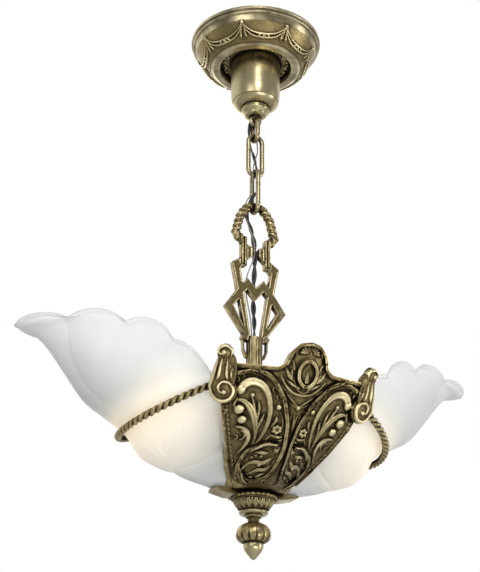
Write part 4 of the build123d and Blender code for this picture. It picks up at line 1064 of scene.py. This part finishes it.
# %% Hanger faces
HATCH_GAP, EDGE_CELLS, HANGER_GRAIN = 1.5, 4, 0.42
HANGER_FACE = -2.75


def lay_hanger_faces():
    """Skin over the flat faces of the hanger with a raised edge and a hatch."""
    across, up = np.meshgrid(
        np.arange(-24.0, 24.01, HANGER_GRAIN), np.arange(-333.0, -222.0, HANGER_GRAIN), indexing="ij")
    ahead = np.array((0.0, 1.0, 0.0))
    starts = np.stack([across, np.full_like(across, -20.0), up], axis=-1).reshape(-1, 3) * MM
    spots, normals = ray_hits(solid_tree("stem_hanger"), starts, ahead, 0.03)
    front = spots[:, 1].reshape(across.shape) / MM
    kept = (normals[:, 1].reshape(across.shape) < -0.9) & (np.abs(front - HANGER_FACE) < 0.25)
    deep, mask = kept.astype(float), kept
    for _ in range(EDGE_CELLS):
        mask = eroded(mask)
        deep += mask
    hatch = 0.5 + 0.5 * np.sin(2 * math.pi * (across + 0.6 * up) / HATCH_GAP)
    parts = [deep <= 1, deep <= EDGE_CELLS]
    height = np.select(parts, [-0.2, 0.62], 0.08 + 0.2 * hatch)
    raised = np.select(parts, [0.35, 0.78], 0.1 + 0.35 * hatch)
    verts = spots - ahead * height.reshape(-1, 1) * MM
    verts, faces, raised = trimmed(verts, grid_faces(kept), raised.ravel())
    made = []
    for word, flip in (("front", 1), ("back", -1)):
        placed = verts * np.array((1, flip, 1))
        made.append(piece("hanger_face_" + word, placed, faces[:, ::flip], CARVED, "fixture", raised))
    return made


print([(o.name, len(o.data.polygons)) for o in lay_hanger_faces()])

# %% [markdown]
# Each panel ends in a volute at its upper outer corner: a tight spiral with a leafy
# shoulder that climbs from it and rolls over into a small curl. The leaf is carved as a
# broad swell with ribs on top of it, then cut out along its own edge and set on the
# casting's spiral, so it has a front, a back and a real outline.

# %% Volute leaves
LEAF_GRAIN, LEAF_BACK, LEAF_RIM = 0.45, 2.4, 0.6
VOLUTE_CENTRE = np.array((63.6, -82.0, -414.5))
VOLUTE_OUT = unit(np.array((0.36, -0.83, -0.42)))
VOLUTE_ACROSS = unit(np.array((0.91, 0.40, -0.05)))
VOLUTE_UP = np.cross(VOLUTE_OUT, VOLUTE_ACROSS)
VOLUTE_SWELL = [(-2.5, 27.0, 6.0), (-1.0, 20.0, 7.4), (1.0, 12.0, 9.0), (3.2, 4.0, 9.4)]
VOLUTE_RIBS = {
    "outer_lobe": [
        (3.5, 27.0, 0.7), (6.0, 20.5, 1.4), (8.6, 13.0, 1.7), (11.0, 6.5, 1.5), (12.0, 2.0, 0.9),
    ],
    "second_lobe": [(0.2, 26.0, 0.6), (2.4, 18.5, 1.3), (4.0, 12.5, 1.5), (5.4, 8.6, 0.7)],
    "third_lobe": [(-4.0, 25.0, 0.6), (-3.0, 18.0, 1.2), (-2.4, 12.0, 1.3), (-3.0, 8.4, 0.6)],
    "inner_lobe": [(-8.2, 23.0, 0.6), (-7.4, 17.0, 1.1), (-6.6, 11.5, 1.2), (-7.4, 7.0, 0.6)],
}
VOLUTE_SPIRAL = [
    (12.0, 4.0, 1.2), (10.6, -3.0, 1.6), (5.0, -8.8, 1.7), (-3.0, -8.5, 1.7), (-7.5, -2.0, 1.6),
    (-5.2, 4.8, 1.5),
    (0.8, 6.6, 1.3), (4.8, 3.2, 1.2), (3.8, -1.4, 1.1), (0.2, -2.2, 1.0),
]
VOLUTE_CURL = [
    (-7.4, 27.0, 1.0), (-8.3, 32.4, 1.4), (-3.0, 36.6, 1.6), (2.6, 34.4, 1.5), (3.0, 30.4, 1.3),
    (-0.8, 29.4, 1.1),
]


def carve_volute():
    """Height map of the volute's leaf, and the mask of what belongs to it."""
    patch = np.arange(-14.0, 17.01, LEAF_GRAIN), np.arange(-14.0, 41.01, LEAF_GRAIN)
    swell = Carving(*patch)
    swell.stroke(VOLUTE_SWELL, 3.4, flat=0.8)
    swell.dome(0.4, -0.6, 11.6, 2.6)
    swell.dome(-2.6, 31.4, 6.8, 4.2)
    ribs = Carving(*patch)
    for rib in VOLUTE_RIBS.values():
        ribs.stroke(rib, 1.5, vein=0.2)
    ribs.stroke(VOLUTE_SPIRAL, 1.9)
    ribs.stroke(VOLUTE_CURL, 1.7)
    ribs.dome(0.4, -2.0, 2.2, 2.2)
    ribs.dome(-1.2, 31.0, 2.2, 1.6)
    return swell, ribs


def make_volute_leaves():
    """Closed leaf on the front right volute, and its mirror images."""
    swell, ribs = carve_volute()
    inside = (swell.height > 0.35) | (ribs.height > 0.35)
    rim = inside & ~eroded(inside)
    height = np.where(inside, np.maximum(swell.height, 0.9) + ribs.height, 0.0)
    height = np.where(rim, -LEAF_RIM, height)
    flat = VOLUTE_CENTRE + swell.across[..., None] * VOLUTE_ACROSS + swell.up[..., None] * VOLUTE_UP
    front = (flat + height[..., None] * VOLUTE_OUT).reshape(-1, 3) * MM
    back = (flat - np.where(rim, LEAF_RIM, LEAF_BACK)[..., None] * VOLUTE_OUT).reshape(-1, 3) * MM
    quads = grid_faces(inside)
    faces = np.vstack([quads, quads[:, ::-1] + len(front)])
    raised = np.clip(0.25 + 0.75 * ribs.height / 1.6, 0.0, 1.3).ravel()
    raised = np.concatenate([raised, np.zeros(len(back))])
    return four_mirrored("volute_leaf", *trimmed(np.vstack([front, back]), faces, raised))


print([(o.name, len(o.data.polygons)) for o in make_volute_leaves()])

# %% [markdown]
# A slip shade is a scoop of pressed glass with an open back. It drops into its ring from
# above and rests there and on the ledge, so its shape is a tidy stack of levels. Soft
# creases run down from the notches of its rim. A grid laid over the levels, cut to the
# rim one column at a time, keeps every lobe smooth, and a second grid gives the wall.

# %% Shade levels
SHADE_LEVELS = np.array([
    (31.0, -474.9, 44.6, -474.9, 6.5, 2.0), (31.0, -471.5, 58.0, -472.2, 12.0, 2.0),
    (33.0, -468.0, 70.0, -468.4, 16.0, 2.0),
    (36.0, -463.0, 83.5, -464.2, 20.5, 2.0), (41.0, -455.0, 98.0, -458.4, 30.0, 2.0),
    (48.0, -440.0, 108.8, -449.0, 47.0, 2.0),
    (58.0, -401.4, 119.2, -432.1, 68.1, 2.0), (61.0, -393.0, 140.5, -420.6, 67.0, 1.9),
    (64.0, -386.0, 161.0, -408.8, 69.5, 1.8),
    (67.0, -376.0, 178.0, -390.4, 71.5, 1.7), (70.0, -362.0, 193.0, -372.0, 72.0, 1.6),
    (72.0, -348.0, 206.5, -360.0, 71.0, 1.55),
    (74.0, -335.0, 221.0, -357.0, 68.5, 1.5), (75.0, -322.0, 231.5, -347.5, 66.0, 1.5),
])
RIM_LOBES = [
    [(40.0, -417.0), (60.0, -404.0), (68.0, -396.0), (76.0, -388.0), (86.0, -378.0), (95.0, -372.2),
     (103.5, -369.8)],
    [(103.5, -369.8), (108.0, -362.0), (115.0, -355.8), (125.0, -352.2), (134.0, -352.4), (142.5, -355.5)],
    [(142.5, -355.5), (149.0, -349.4), (158.0, -345.8), (168.0, -345.2), (179.0, -347.6), (187.5, -352.8)],
    [(187.5, -352.8), (195.0, -349.6), (206.0, -348.4), (215.0, -349.2), (221.5, -351.4),
     (224.8, -355.2), (225.8, -362.0)],
]
GLASS_WALL = 3.0


def level_rows(level):
    """Values of the stack at levels between the written ones, on a smooth curve."""
    low = np.clip(np.floor(level).astype(int), 0, len(SHADE_LEVELS) - 2)
    part = (level - low)[..., None]
    rows = [SHADE_LEVELS[np.clip(low + k, 0, len(SHADE_LEVELS) - 1)] for k in (-1, 0, 1, 2)]
    return between(*rows, part)


def shade_surface(level, angle):
    """Points of the right shade's outer surface, in millimetres."""
    row = level_rows(level)
    power = 2.0 / row[..., 5]
    out = np.abs(np.sin(angle)) ** power
    side = -np.sign(np.cos(angle)) * np.abs(np.cos(angle)) ** power
    x = row[..., 0] + (row[..., 2] - row[..., 0]) * out
    z = row[..., 1] + (row[..., 3] - row[..., 1]) * out
    return np.stack([x, row[..., 4] * side, z], axis=-1)


def rim_height(across):
    """Height of the lobed rim over a place across."""
    lines = [eased([(x, z, 1.0) for x, z in lobe], 0.5)[:, :2] for lobe in RIM_LOBES]
    line = np.vstack([part[:-1] for part in lines] + [lines[-1][-1:]])
    return np.where(across > line[-1, 0], -500.0, np.interp(across, line[:, 0], line[:, 1]))


def rim_levels(angles):
    """Level at which each column of the grid meets the rim."""
    tries = np.linspace(4.0, len(SHADE_LEVELS) - 1.0, 1200)
    spots = shade_surface(tries[:, None], np.broadcast_to(angles, (len(tries), len(angles))))
    above = spots[..., 2] - rim_height(spots[..., 0])
    over = above > 0
    first = np.where(over.any(axis=0), over.argmax(axis=0), len(tries) - 1)
    return tries[first], spots[first, np.arange(len(angles))]


SHADE_ANGLES = np.linspace(0.004, math.pi - 0.004, 301)
RIM_LEVELS, RIM_SPOTS = rim_levels(SHADE_ANGLES)
print("rim reaches", round(float(RIM_SPOTS[:, 0].max()), 1), "mm")

# %% Flutes, lip and leaf spray
SPRAY = {
    "leaf_left_edge": [
        (-1.0, -18.6, 0.5), (-3.4, -9.0, 0.6), (-4.3, 3.6, 0.7), (-1.6, 9.6, 0.7), (3.2, 12.6, 0.6),
        (10.1, 14.4, 0.4),
    ],
    "leaf_right_edge": [
        (10.1, 14.4, 0.4), (7.4, 6.0, 0.7), (3.2, -1.2, 0.7), (1.4, -9.0, 0.6), (0.3, -18.2, 0.5),
    ],
    "leaf_vein": [(7.9, 11.2, 0.3), (2.9, 4.5, 0.6), (-0.1, -4.8, 0.6), (-0.5, -15.7, 0.5)],
    "leaf_body": [(8.0, 12.0, 0.5), (2.0, 5.0, 3.0), (-0.5, -4.0, 2.2), (-0.5, -12.0, 0.6)],
    "small_leaf": [(9.2, -7.8, 0.4), (5.0, -11.5, 1.1), (2.0, -18.6, 0.5)],
    "blade_a": [(-8.8, 9.0, 0.3), (-7.6, -1.4, 0.8), (-3.9, -13.2, 0.5)],
    "blade_b": [(-6.0, 8.7, 0.3), (-5.3, -2.3, 0.7), (-2.6, -12.0, 0.4)],
    "blade_c": [(-17.2, 3.0, 0.4), (-13.6, -5.4, 0.9), (-7.2, -14.0, 0.5)],
    "blade_d": [(-24.9, -3.9, 0.4), (-19.0, -9.0, 0.9), (-10.6, -15.7, 0.5)],
    "curl": [(-14.0, 0.5, 0.3), (-10.5, -0.5, 0.7), (-9.5, -4.5, 0.6), (-12.0, -6.5, 0.3)],
}
CREASES = [
    [(6.2, 1.43, 0.0), (6.7, 1.42, 0.7), (7.4, 1.39, 1.1), (8.8, 1.34, 1.4), (9.6, 1.26, 1.5),
     (10.7, 1.105, 1.9), (12.4, 0.97, 2.6)],
    [(8.2, 0.95, 0.0), (9.3, 0.86, 0.45), (10.3, 0.73, 1.2), (11.4, 0.654, 2.4)],
    [(7.1, 0.54, 0.0), (7.8, 0.54, 0.4), (8.5, 0.52, 0.8), (9.1, 0.46, 1.2), (9.9, 0.385, 1.8),
     (10.9, 0.371, 2.3)],
]


def sunk_by(level, angle, below_rim):
    """How far the surface lies under the smooth stack, in millimetres."""
    near_side = np.minimum(angle, math.pi - angle)
    sunk = np.zeros_like(level)
    for crease in CREASES:
        marks = np.array(crease)
        deep = np.interp(level, marks[:, 0], marks[:, 2])
        away = (near_side - np.interp(level, marks[:, 0], marks[:, 1])) * 66.0
        valley = 0.55 * np.exp(-np.abs(away) / 3.2) + 0.45 * np.exp(-(away / 9.0) ** 2)
        sunk = np.maximum(sunk, deep * valley)
    bend = np.interp(near_side, [0.0, 0.15, 0.45, 1.12, 1.58], [4.4, 4.04, 3.3, 2.55, 2.45])
    foot = 2.3 * np.exp(-np.abs(level - bend) / 0.2) + 0.5 * np.clip((bend - level) / 2.0, 0, 1)
    edge = 0.75 * np.clip((below_rim - 2.8) / 0.8, 0, 1) + 0.6 * np.exp(-((below_rim - 3.9) / 0.8) ** 2)
    return 0.55 + sunk + foot * np.clip(level / 1.0, 0, 1) + edge


print("creases", len(CREASES), "spray strokes", len(SPRAY))

# %% Make the shades
SPRAY_MIDDLE = np.array((88.0, -30.3, -450.0))
SPRAY_LOOK = np.array((-0.359, 0.837, 0.412))
SPRAY_ACROSS = np.array((-0.919, -0.395, 0.0))
SPRAY_UP = np.array((0.163, -0.379, 0.911))
SPRAY_GRAIN, SPRAY_REACH, SPRAY_TOP_LEVEL = 0.4, 34.0, 6.0
ROWS, FOOT_ROWS, LATE_START = 170, 6, 0.74
COLUMNS = len(SHADE_ANGLES)


def spray_height(spots):
    """Raised leaf spray on the lower front of a shade, drawn looking at its low corner."""
    away = spots - SPRAY_MIDDLE
    patch = Carving(np.arange(-30.0, 20.01, SPRAY_GRAIN), np.arange(-24.0, 20.01, SPRAY_GRAIN))
    for word, leaf in SPRAY.items():
        patch.stroke(leaf, 0.3 if word == "leaf_body" else 0.62)
    h = patch.height
    u = np.clip((away @ SPRAY_ACROSS + 30.0) / SPRAY_GRAIN, 0, h.shape[0] - 1.01)
    v = np.clip((away @ SPRAY_UP + 24.0) / SPRAY_GRAIN, 0, h.shape[1] - 1.01)
    i, j = u.astype(int), v.astype(int)
    fu, fv = u - i, v - j
    near, far = (h[i, j + k] * (1 - fu) + h[i + 1, j + k] * fu for k in (0, 1))
    return (near * (1 - fv) + far * fv) * (np.abs(away @ SPRAY_LOOK) < SPRAY_REACH)


def shade_levels():
    """Level at each row and column: a calm stack low down, the true rim at the top."""
    share = np.linspace(0, 1, ROWS)[:, None] ** 0.9
    window = np.hanning(61) / np.hanning(61).sum()
    calm = np.convolve(np.pad(RIM_LEVELS, 30, mode="edge"), window, mode="valid")
    ends = min(RIM_LEVELS[0], RIM_LEVELS[-1]) + 40.0 * np.minimum(SHADE_ANGLES, math.pi - SHADE_ANGLES)
    calm = np.minimum(calm, ends)
    late = np.clip((share - LATE_START) / (1 - LATE_START), 0, 1) ** 1.5
    return np.minimum(share * calm + late * (RIM_LEVELS - calm), RIM_LEVELS)


def shade_walls():
    """Outer and inner grids of the right shade."""
    level = shade_levels()
    angle = np.broadcast_to(SHADE_ANGLES, level.shape)
    smooth = shade_surface(level, angle)
    normals = unit(np.cross(np.gradient(smooth, axis=0), np.gradient(smooth, axis=1)))
    if normals[ROWS // 2, COLUMNS // 2] @ np.array((0.5, 0, -0.8)) < 0:
        normals = -normals
    steps = np.linalg.norm(np.diff(smooth, axis=0), axis=2)
    below_rim = np.vstack([np.cumsum(steps[::-1], axis=0)[::-1], np.zeros((1, COLUMNS))])
    mirrored = smooth * np.where(smooth[..., 1:2] > 0, np.array((1, -1, 1)), 1)
    sunk = sunk_by(level, angle, below_rim)
    sunk = np.maximum(sunk - np.where(level < SPRAY_TOP_LEVEL, spray_height(mirrored), 0), 0.0)
    wall = GLASS_WALL * np.clip(0.55 + below_rim / 9.0, 0.55, 1.0)
    return smooth - normals * sunk[..., None], smooth - normals * (sunk * 0.6 + wall)[..., None]


def bridged(one, other):
    """Quads between two lines of vertex numbers."""
    return woven(np.asarray(one), np.asarray(other)).tolist()


def make_shade(side, word):
    """Fluted shade: outer and inner grids joined round the rim, back and foot."""
    outer, inner = shade_walls()
    crown = 0.5 * (outer[-1] + inner[-1])
    crown[:, 2] += 0.5
    verts = np.vstack([outer.reshape(-1, 3), crown, inner[FOOT_ROWS:].reshape(-1, 3)])
    front = np.arange(ROWS * COLUMNS).reshape(ROWS, COLUMNS)
    edge = ROWS * COLUMNS + np.arange(COLUMNS)
    back = (ROWS + 1) * COLUMNS + front[:ROWS - FOOT_ROWS]
    faces = woven(front[:-1], front[1:]).tolist() + woven(back.T[:-1], back.T[1:]).tolist()
    faces += bridged(front[-1], edge) + bridged(edge, back[-1])
    for column, flip in ((0, 1), (-1, -1)):
        line = front[:, column]
        strip = bridged(line[FOOT_ROWS:], back[:, column])
        strip += [(line[-1], edge[column], back[-1, column])]
        strip += [(line[i], line[i + 1], back[0, column]) for i in range(FOOT_ROWS)]
        faces += [face[::flip] for face in strip]
    faces += [front[0, ::-1], back[0], (0, back[0, 0], back[0, -1], COLUMNS - 1)]
    if side < 0:
        faces = [face[::-1] for face in faces]
    verts = verts * np.array((side, 1, 1)) * MM
    shade = piece("fluted_shade_" + word, verts, faces, GLASS[side], word + "_shade")
    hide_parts("glass_shade_" + word)
    return shade


for side, word in SIDES:
    made = make_shade(side, word)
    print(made.name, len(made.data.vertices), [round(v * 1000, 1) for v in made.dimensions])

# %% [markdown]
# The canopy carries eight draped swags with a knotted ribbon between them, the recess a
# run of small scrolls, and the cup a collar of leaves. Each is one bay, repeated round the
# hanging axis, so the bay is carved flat and then wrapped: one side of the map becomes an
# angle, the other a distance along the casting's own outline, found by casting rays.

# %% Wrap a bay round the axis
RAY_LIFT = 4.0
BAY_EDGE = -0.25


def away_from_axis(run):
    """Normals of a turned outline, on the side that faces out and down."""
    out = np.stack([-run[..., 1], run[..., 0]], axis=-1)
    return out * np.where(out @ np.array((1.0, -1.0)) < 0, -1, 1)[..., None]


def turned_outline(node_name, start, end, step):
    """Radius and height along a turned piece's skin, found by rays cast at its outline."""
    start, end = np.array(start), np.array(end)
    tree = solid_tree(node_name)
    out = away_from_axis(unit(end - start))
    line = []
    for place in np.linspace(start, end, max(2, int(np.linalg.norm(end - start) / step))):
        begin = place + out * RAY_LIFT
        way = Vector((-out[0], 0, -out[1]))
        hit, _, _, _ = tree.ray_cast(Vector((begin[0] * MM, 0, begin[1] * MM)), way, 9 * MM)
        if hit is not None:
            line.append((hit[0] / MM, hit[2] / MM))
    return np.array(line)


def wrap_bay(name, line, carve, bays, turn, body, step=0.42, base=0.18):
    """Skin of one carved bay, repeated round the axis and laid along an outline."""
    far = path_lengths(line)
    along = np.arange(0, far[-1], step)
    radius, height = np.interp(along, far, line[:, 0]), np.interp(along, far, line[:, 1])
    out = away_from_axis(unit(np.stack([np.gradient(radius), np.gradient(height)], axis=1)))
    width = 2 * math.pi * radius.mean() / bays
    count = max(8, int(width / step))
    bay = Carving(np.linspace(-width / 2, width / 2, count, endpoint=False), along)
    carve(bay, width)
    tall = np.concatenate([bay.height] * bays, axis=0) + base
    tall[:, 0] = tall[:, -1] = BAY_EDGE
    angle = (np.arange(count * bays) / (count * bays) * 2 * math.pi - math.pi / bays + turn)[:, None]
    far_out, up = radius + out[:, 0] * tall, height + out[:, 1] * tall
    spots = np.stack([far_out * np.cos(angle), far_out * np.sin(angle), up], axis=-1) * MM
    numbers = np.arange(tall.size).reshape(tall.shape)
    raised = np.clip(0.26 + 0.5 * (tall - base) / 1.4, 0, 1.1)
    faces = woven(numbers, np.roll(numbers, -1, 0))
    return piece(name, spots.reshape(-1, 3), faces, CARVED, body, raised.ravel())


print("bay wrapper ready")

# %% Canopy swags
SWAG_LINES = [
    [(0.8, 2.6, 0.5), (3.6, 7.4, 0.8), (8.6, 11.3, 1.0), (14.5, 13.4, 1.15), ("half", 14.0, 1.2)],
    [(0.5, 3.2, 0.5), (2.6, 9.0, 0.85), (7.2, 13.9, 1.1), (13.5, 16.6, 1.25), ("half", 17.4, 1.35)],
]
KNOT_TAIL = [(0.4, 2.8, 0.6), (1.5, 9.5, 0.9), (2.7, 15.0, 1.5), (2.2, 17.6, 0.8)]
RECESS_SCROLL = [
    (-4.6, 6.2, 0.7), (-5.6, 3.8, 1.1), (-3.2, 2.2, 1.2), (0.0, 4.4, 1.2), (3.2, 6.8, 1.2), (5.6, 5.0, 1.1),
    (4.6, 2.9, 0.7),
]
SWAG_BAYS, SCROLL_BAYS = 8, 11
KNOT_ANGLE = math.radians(-82.5)


def carve_swag(bay, width):
    """A knot in the middle of the bay and half a swag on each side of it."""
    half = width / 2
    for side in (-1, 1):
        for line in SWAG_LINES:
            bay.stroke([(side * (half if x == "half" else x), y, w) for x, y, w in line], 1.5)
        for x in (half - 5.0, half - 0.2):
            tie = [(side * (x - 2.2), 17.2, 0.5), (side * x, 15.3, 1.0), (side * (x + 2.2), 13.6, 0.5)]
            bay.stroke(tie, 1.9)
        bay.stroke([(side * x, y, w) for x, y, w in KNOT_TAIL], 1.5, vein=0.4)
        bay.dome(side * 1.9, 0.9, 1.4, 1.3, hole=0.4)
    bay.dome(0.0, 2.0, 1.7, 1.7)
    bay.dome(0.0, 17.8, 1.2, 1.1)


def carve_recess(bay, width):
    """S-shaped scroll with a leaf on each side."""
    bay.stroke(RECESS_SCROLL, 1.3)
    bay.stroke([(-2.0, 6.8, 0.4), (-0.6, 7.9, 1.0), (1.6, 8.3, 0.4)], 1.0, vein=0.4)
    bay.stroke([(0.4, 1.9, 0.4), (2.0, 1.4, 0.9), (3.8, 1.0, 0.4)], 1.0, vein=0.4)
    bay.dome(-4.3, 4.6, 1.0, 1.1)
    bay.dome(4.3, 4.4, 1.0, 1.1)


upper_cove = turned_outline("canopy", (61.0, -12.2), (52.8, -24.2), 0.5)
lower_cove = turned_outline("canopy", (52.0, -24.9), (46.6, -28.9), 0.5)
cove = np.vstack([upper_cove, lower_cove])
print("cove outline", cove[0].round(1), cove[-1].round(1), len(cove))
wrap_bay("canopy_swags", cove, carve_swag, SWAG_BAYS, KNOT_ANGLE, "ceiling_mount")
recess = turned_outline("canopy", (35.4, -24.0), (25.6, -24.0), 0.5)
wrap_bay("recess_scrolls", recess, carve_recess, SCROLL_BAYS, 0.2, "ceiling_mount", step=0.4)
print("recess outline", recess[0].round(1), recess[-1].round(1))

# %% [markdown]
# Under the body a small cup wears a collar of upright leaves, with a row of beads round
# its top edge. The beads are separate half-buried balls, which is how the pattern maker
# set them too, and the leaves are a wrapped bay like the swags.

# %% Cup leaves and beads
CUP_LEAVES, BEADS = 16, 28
BEAD_SIZE, BEAD_LINE, BEAD_HEIGHT = 1.95 * MM, 19.2 * MM, -479.6 * MM


def carve_cup(bay, width):
    """Upright leaf with a vein, and the tip of another in each gap."""
    bay.stroke([(0.0, 0.6, 1.5), (0.0, 4.0, 1.9), (0.0, 7.6, 1.5), (0.0, 9.8, 0.6)], 1.2, vein=0.5)
    for side in (-1, 1):
        gap = side * width / 2
        bay.stroke([(gap, 0.4, 0.9), (gap, 4.8, 0.9), (gap, 8.0, 0.4)], 0.9)
        bay.stroke([(side * 1.0, 2.0, 0.5), (side * 1.9, 4.6, 0.6), (side * 1.7, 7.0, 0.3)], 1.25)


def ball(radius, place, rings=8, ring=12):
    """Round ball as vertices and faces."""
    lean = np.linspace(0, math.pi, rings + 1)[1:-1, None]
    turn = np.linspace(0, 2 * math.pi, ring, endpoint=False)
    belt = np.sin(lean) * np.cos(turn), np.sin(lean) * np.sin(turn), np.cos(lean)
    belt = np.stack(np.broadcast_arrays(*belt), axis=-1)
    verts = np.vstack([belt.reshape(-1, 3), [(0, 0, 1), (0, 0, -1)]])
    numbers = np.arange((rings - 1) * ring).reshape(rings - 1, ring)
    wide = np.hstack([numbers, numbers[:, :1]]).T
    top, low = len(verts) - 2, len(verts) - 1
    faces = woven(wide[:-1], wide[1:]).tolist()
    for a, b in zip(wide[:-1], wide[1:]):
        faces += [(top, a[0], b[0]), (low, b[-1], a[-1])]
    return verts * radius + np.asarray(place), faces


cup_line = turned_outline("bottom_cup", (17.6, -482.3), (12.1, -490.6), 0.3)
print("cup outline", cup_line[0].round(1), cup_line[-1].round(1))
wrap_bay("cup_leaves", cup_line, carve_cup, CUP_LEAVES, 0.1, "fixture", step=0.3, base=0.12)
round_cup = [(BEAD_LINE * math.cos(a), BEAD_LINE * math.sin(a), BEAD_HEIGHT)
             for a in np.linspace(0, 2 * math.pi, BEADS, endpoint=False)]
piece("cup_beads", *joined(ball(BEAD_SIZE, place) for place in round_cup), CAST, "fixture")
print("beads", BEADS)
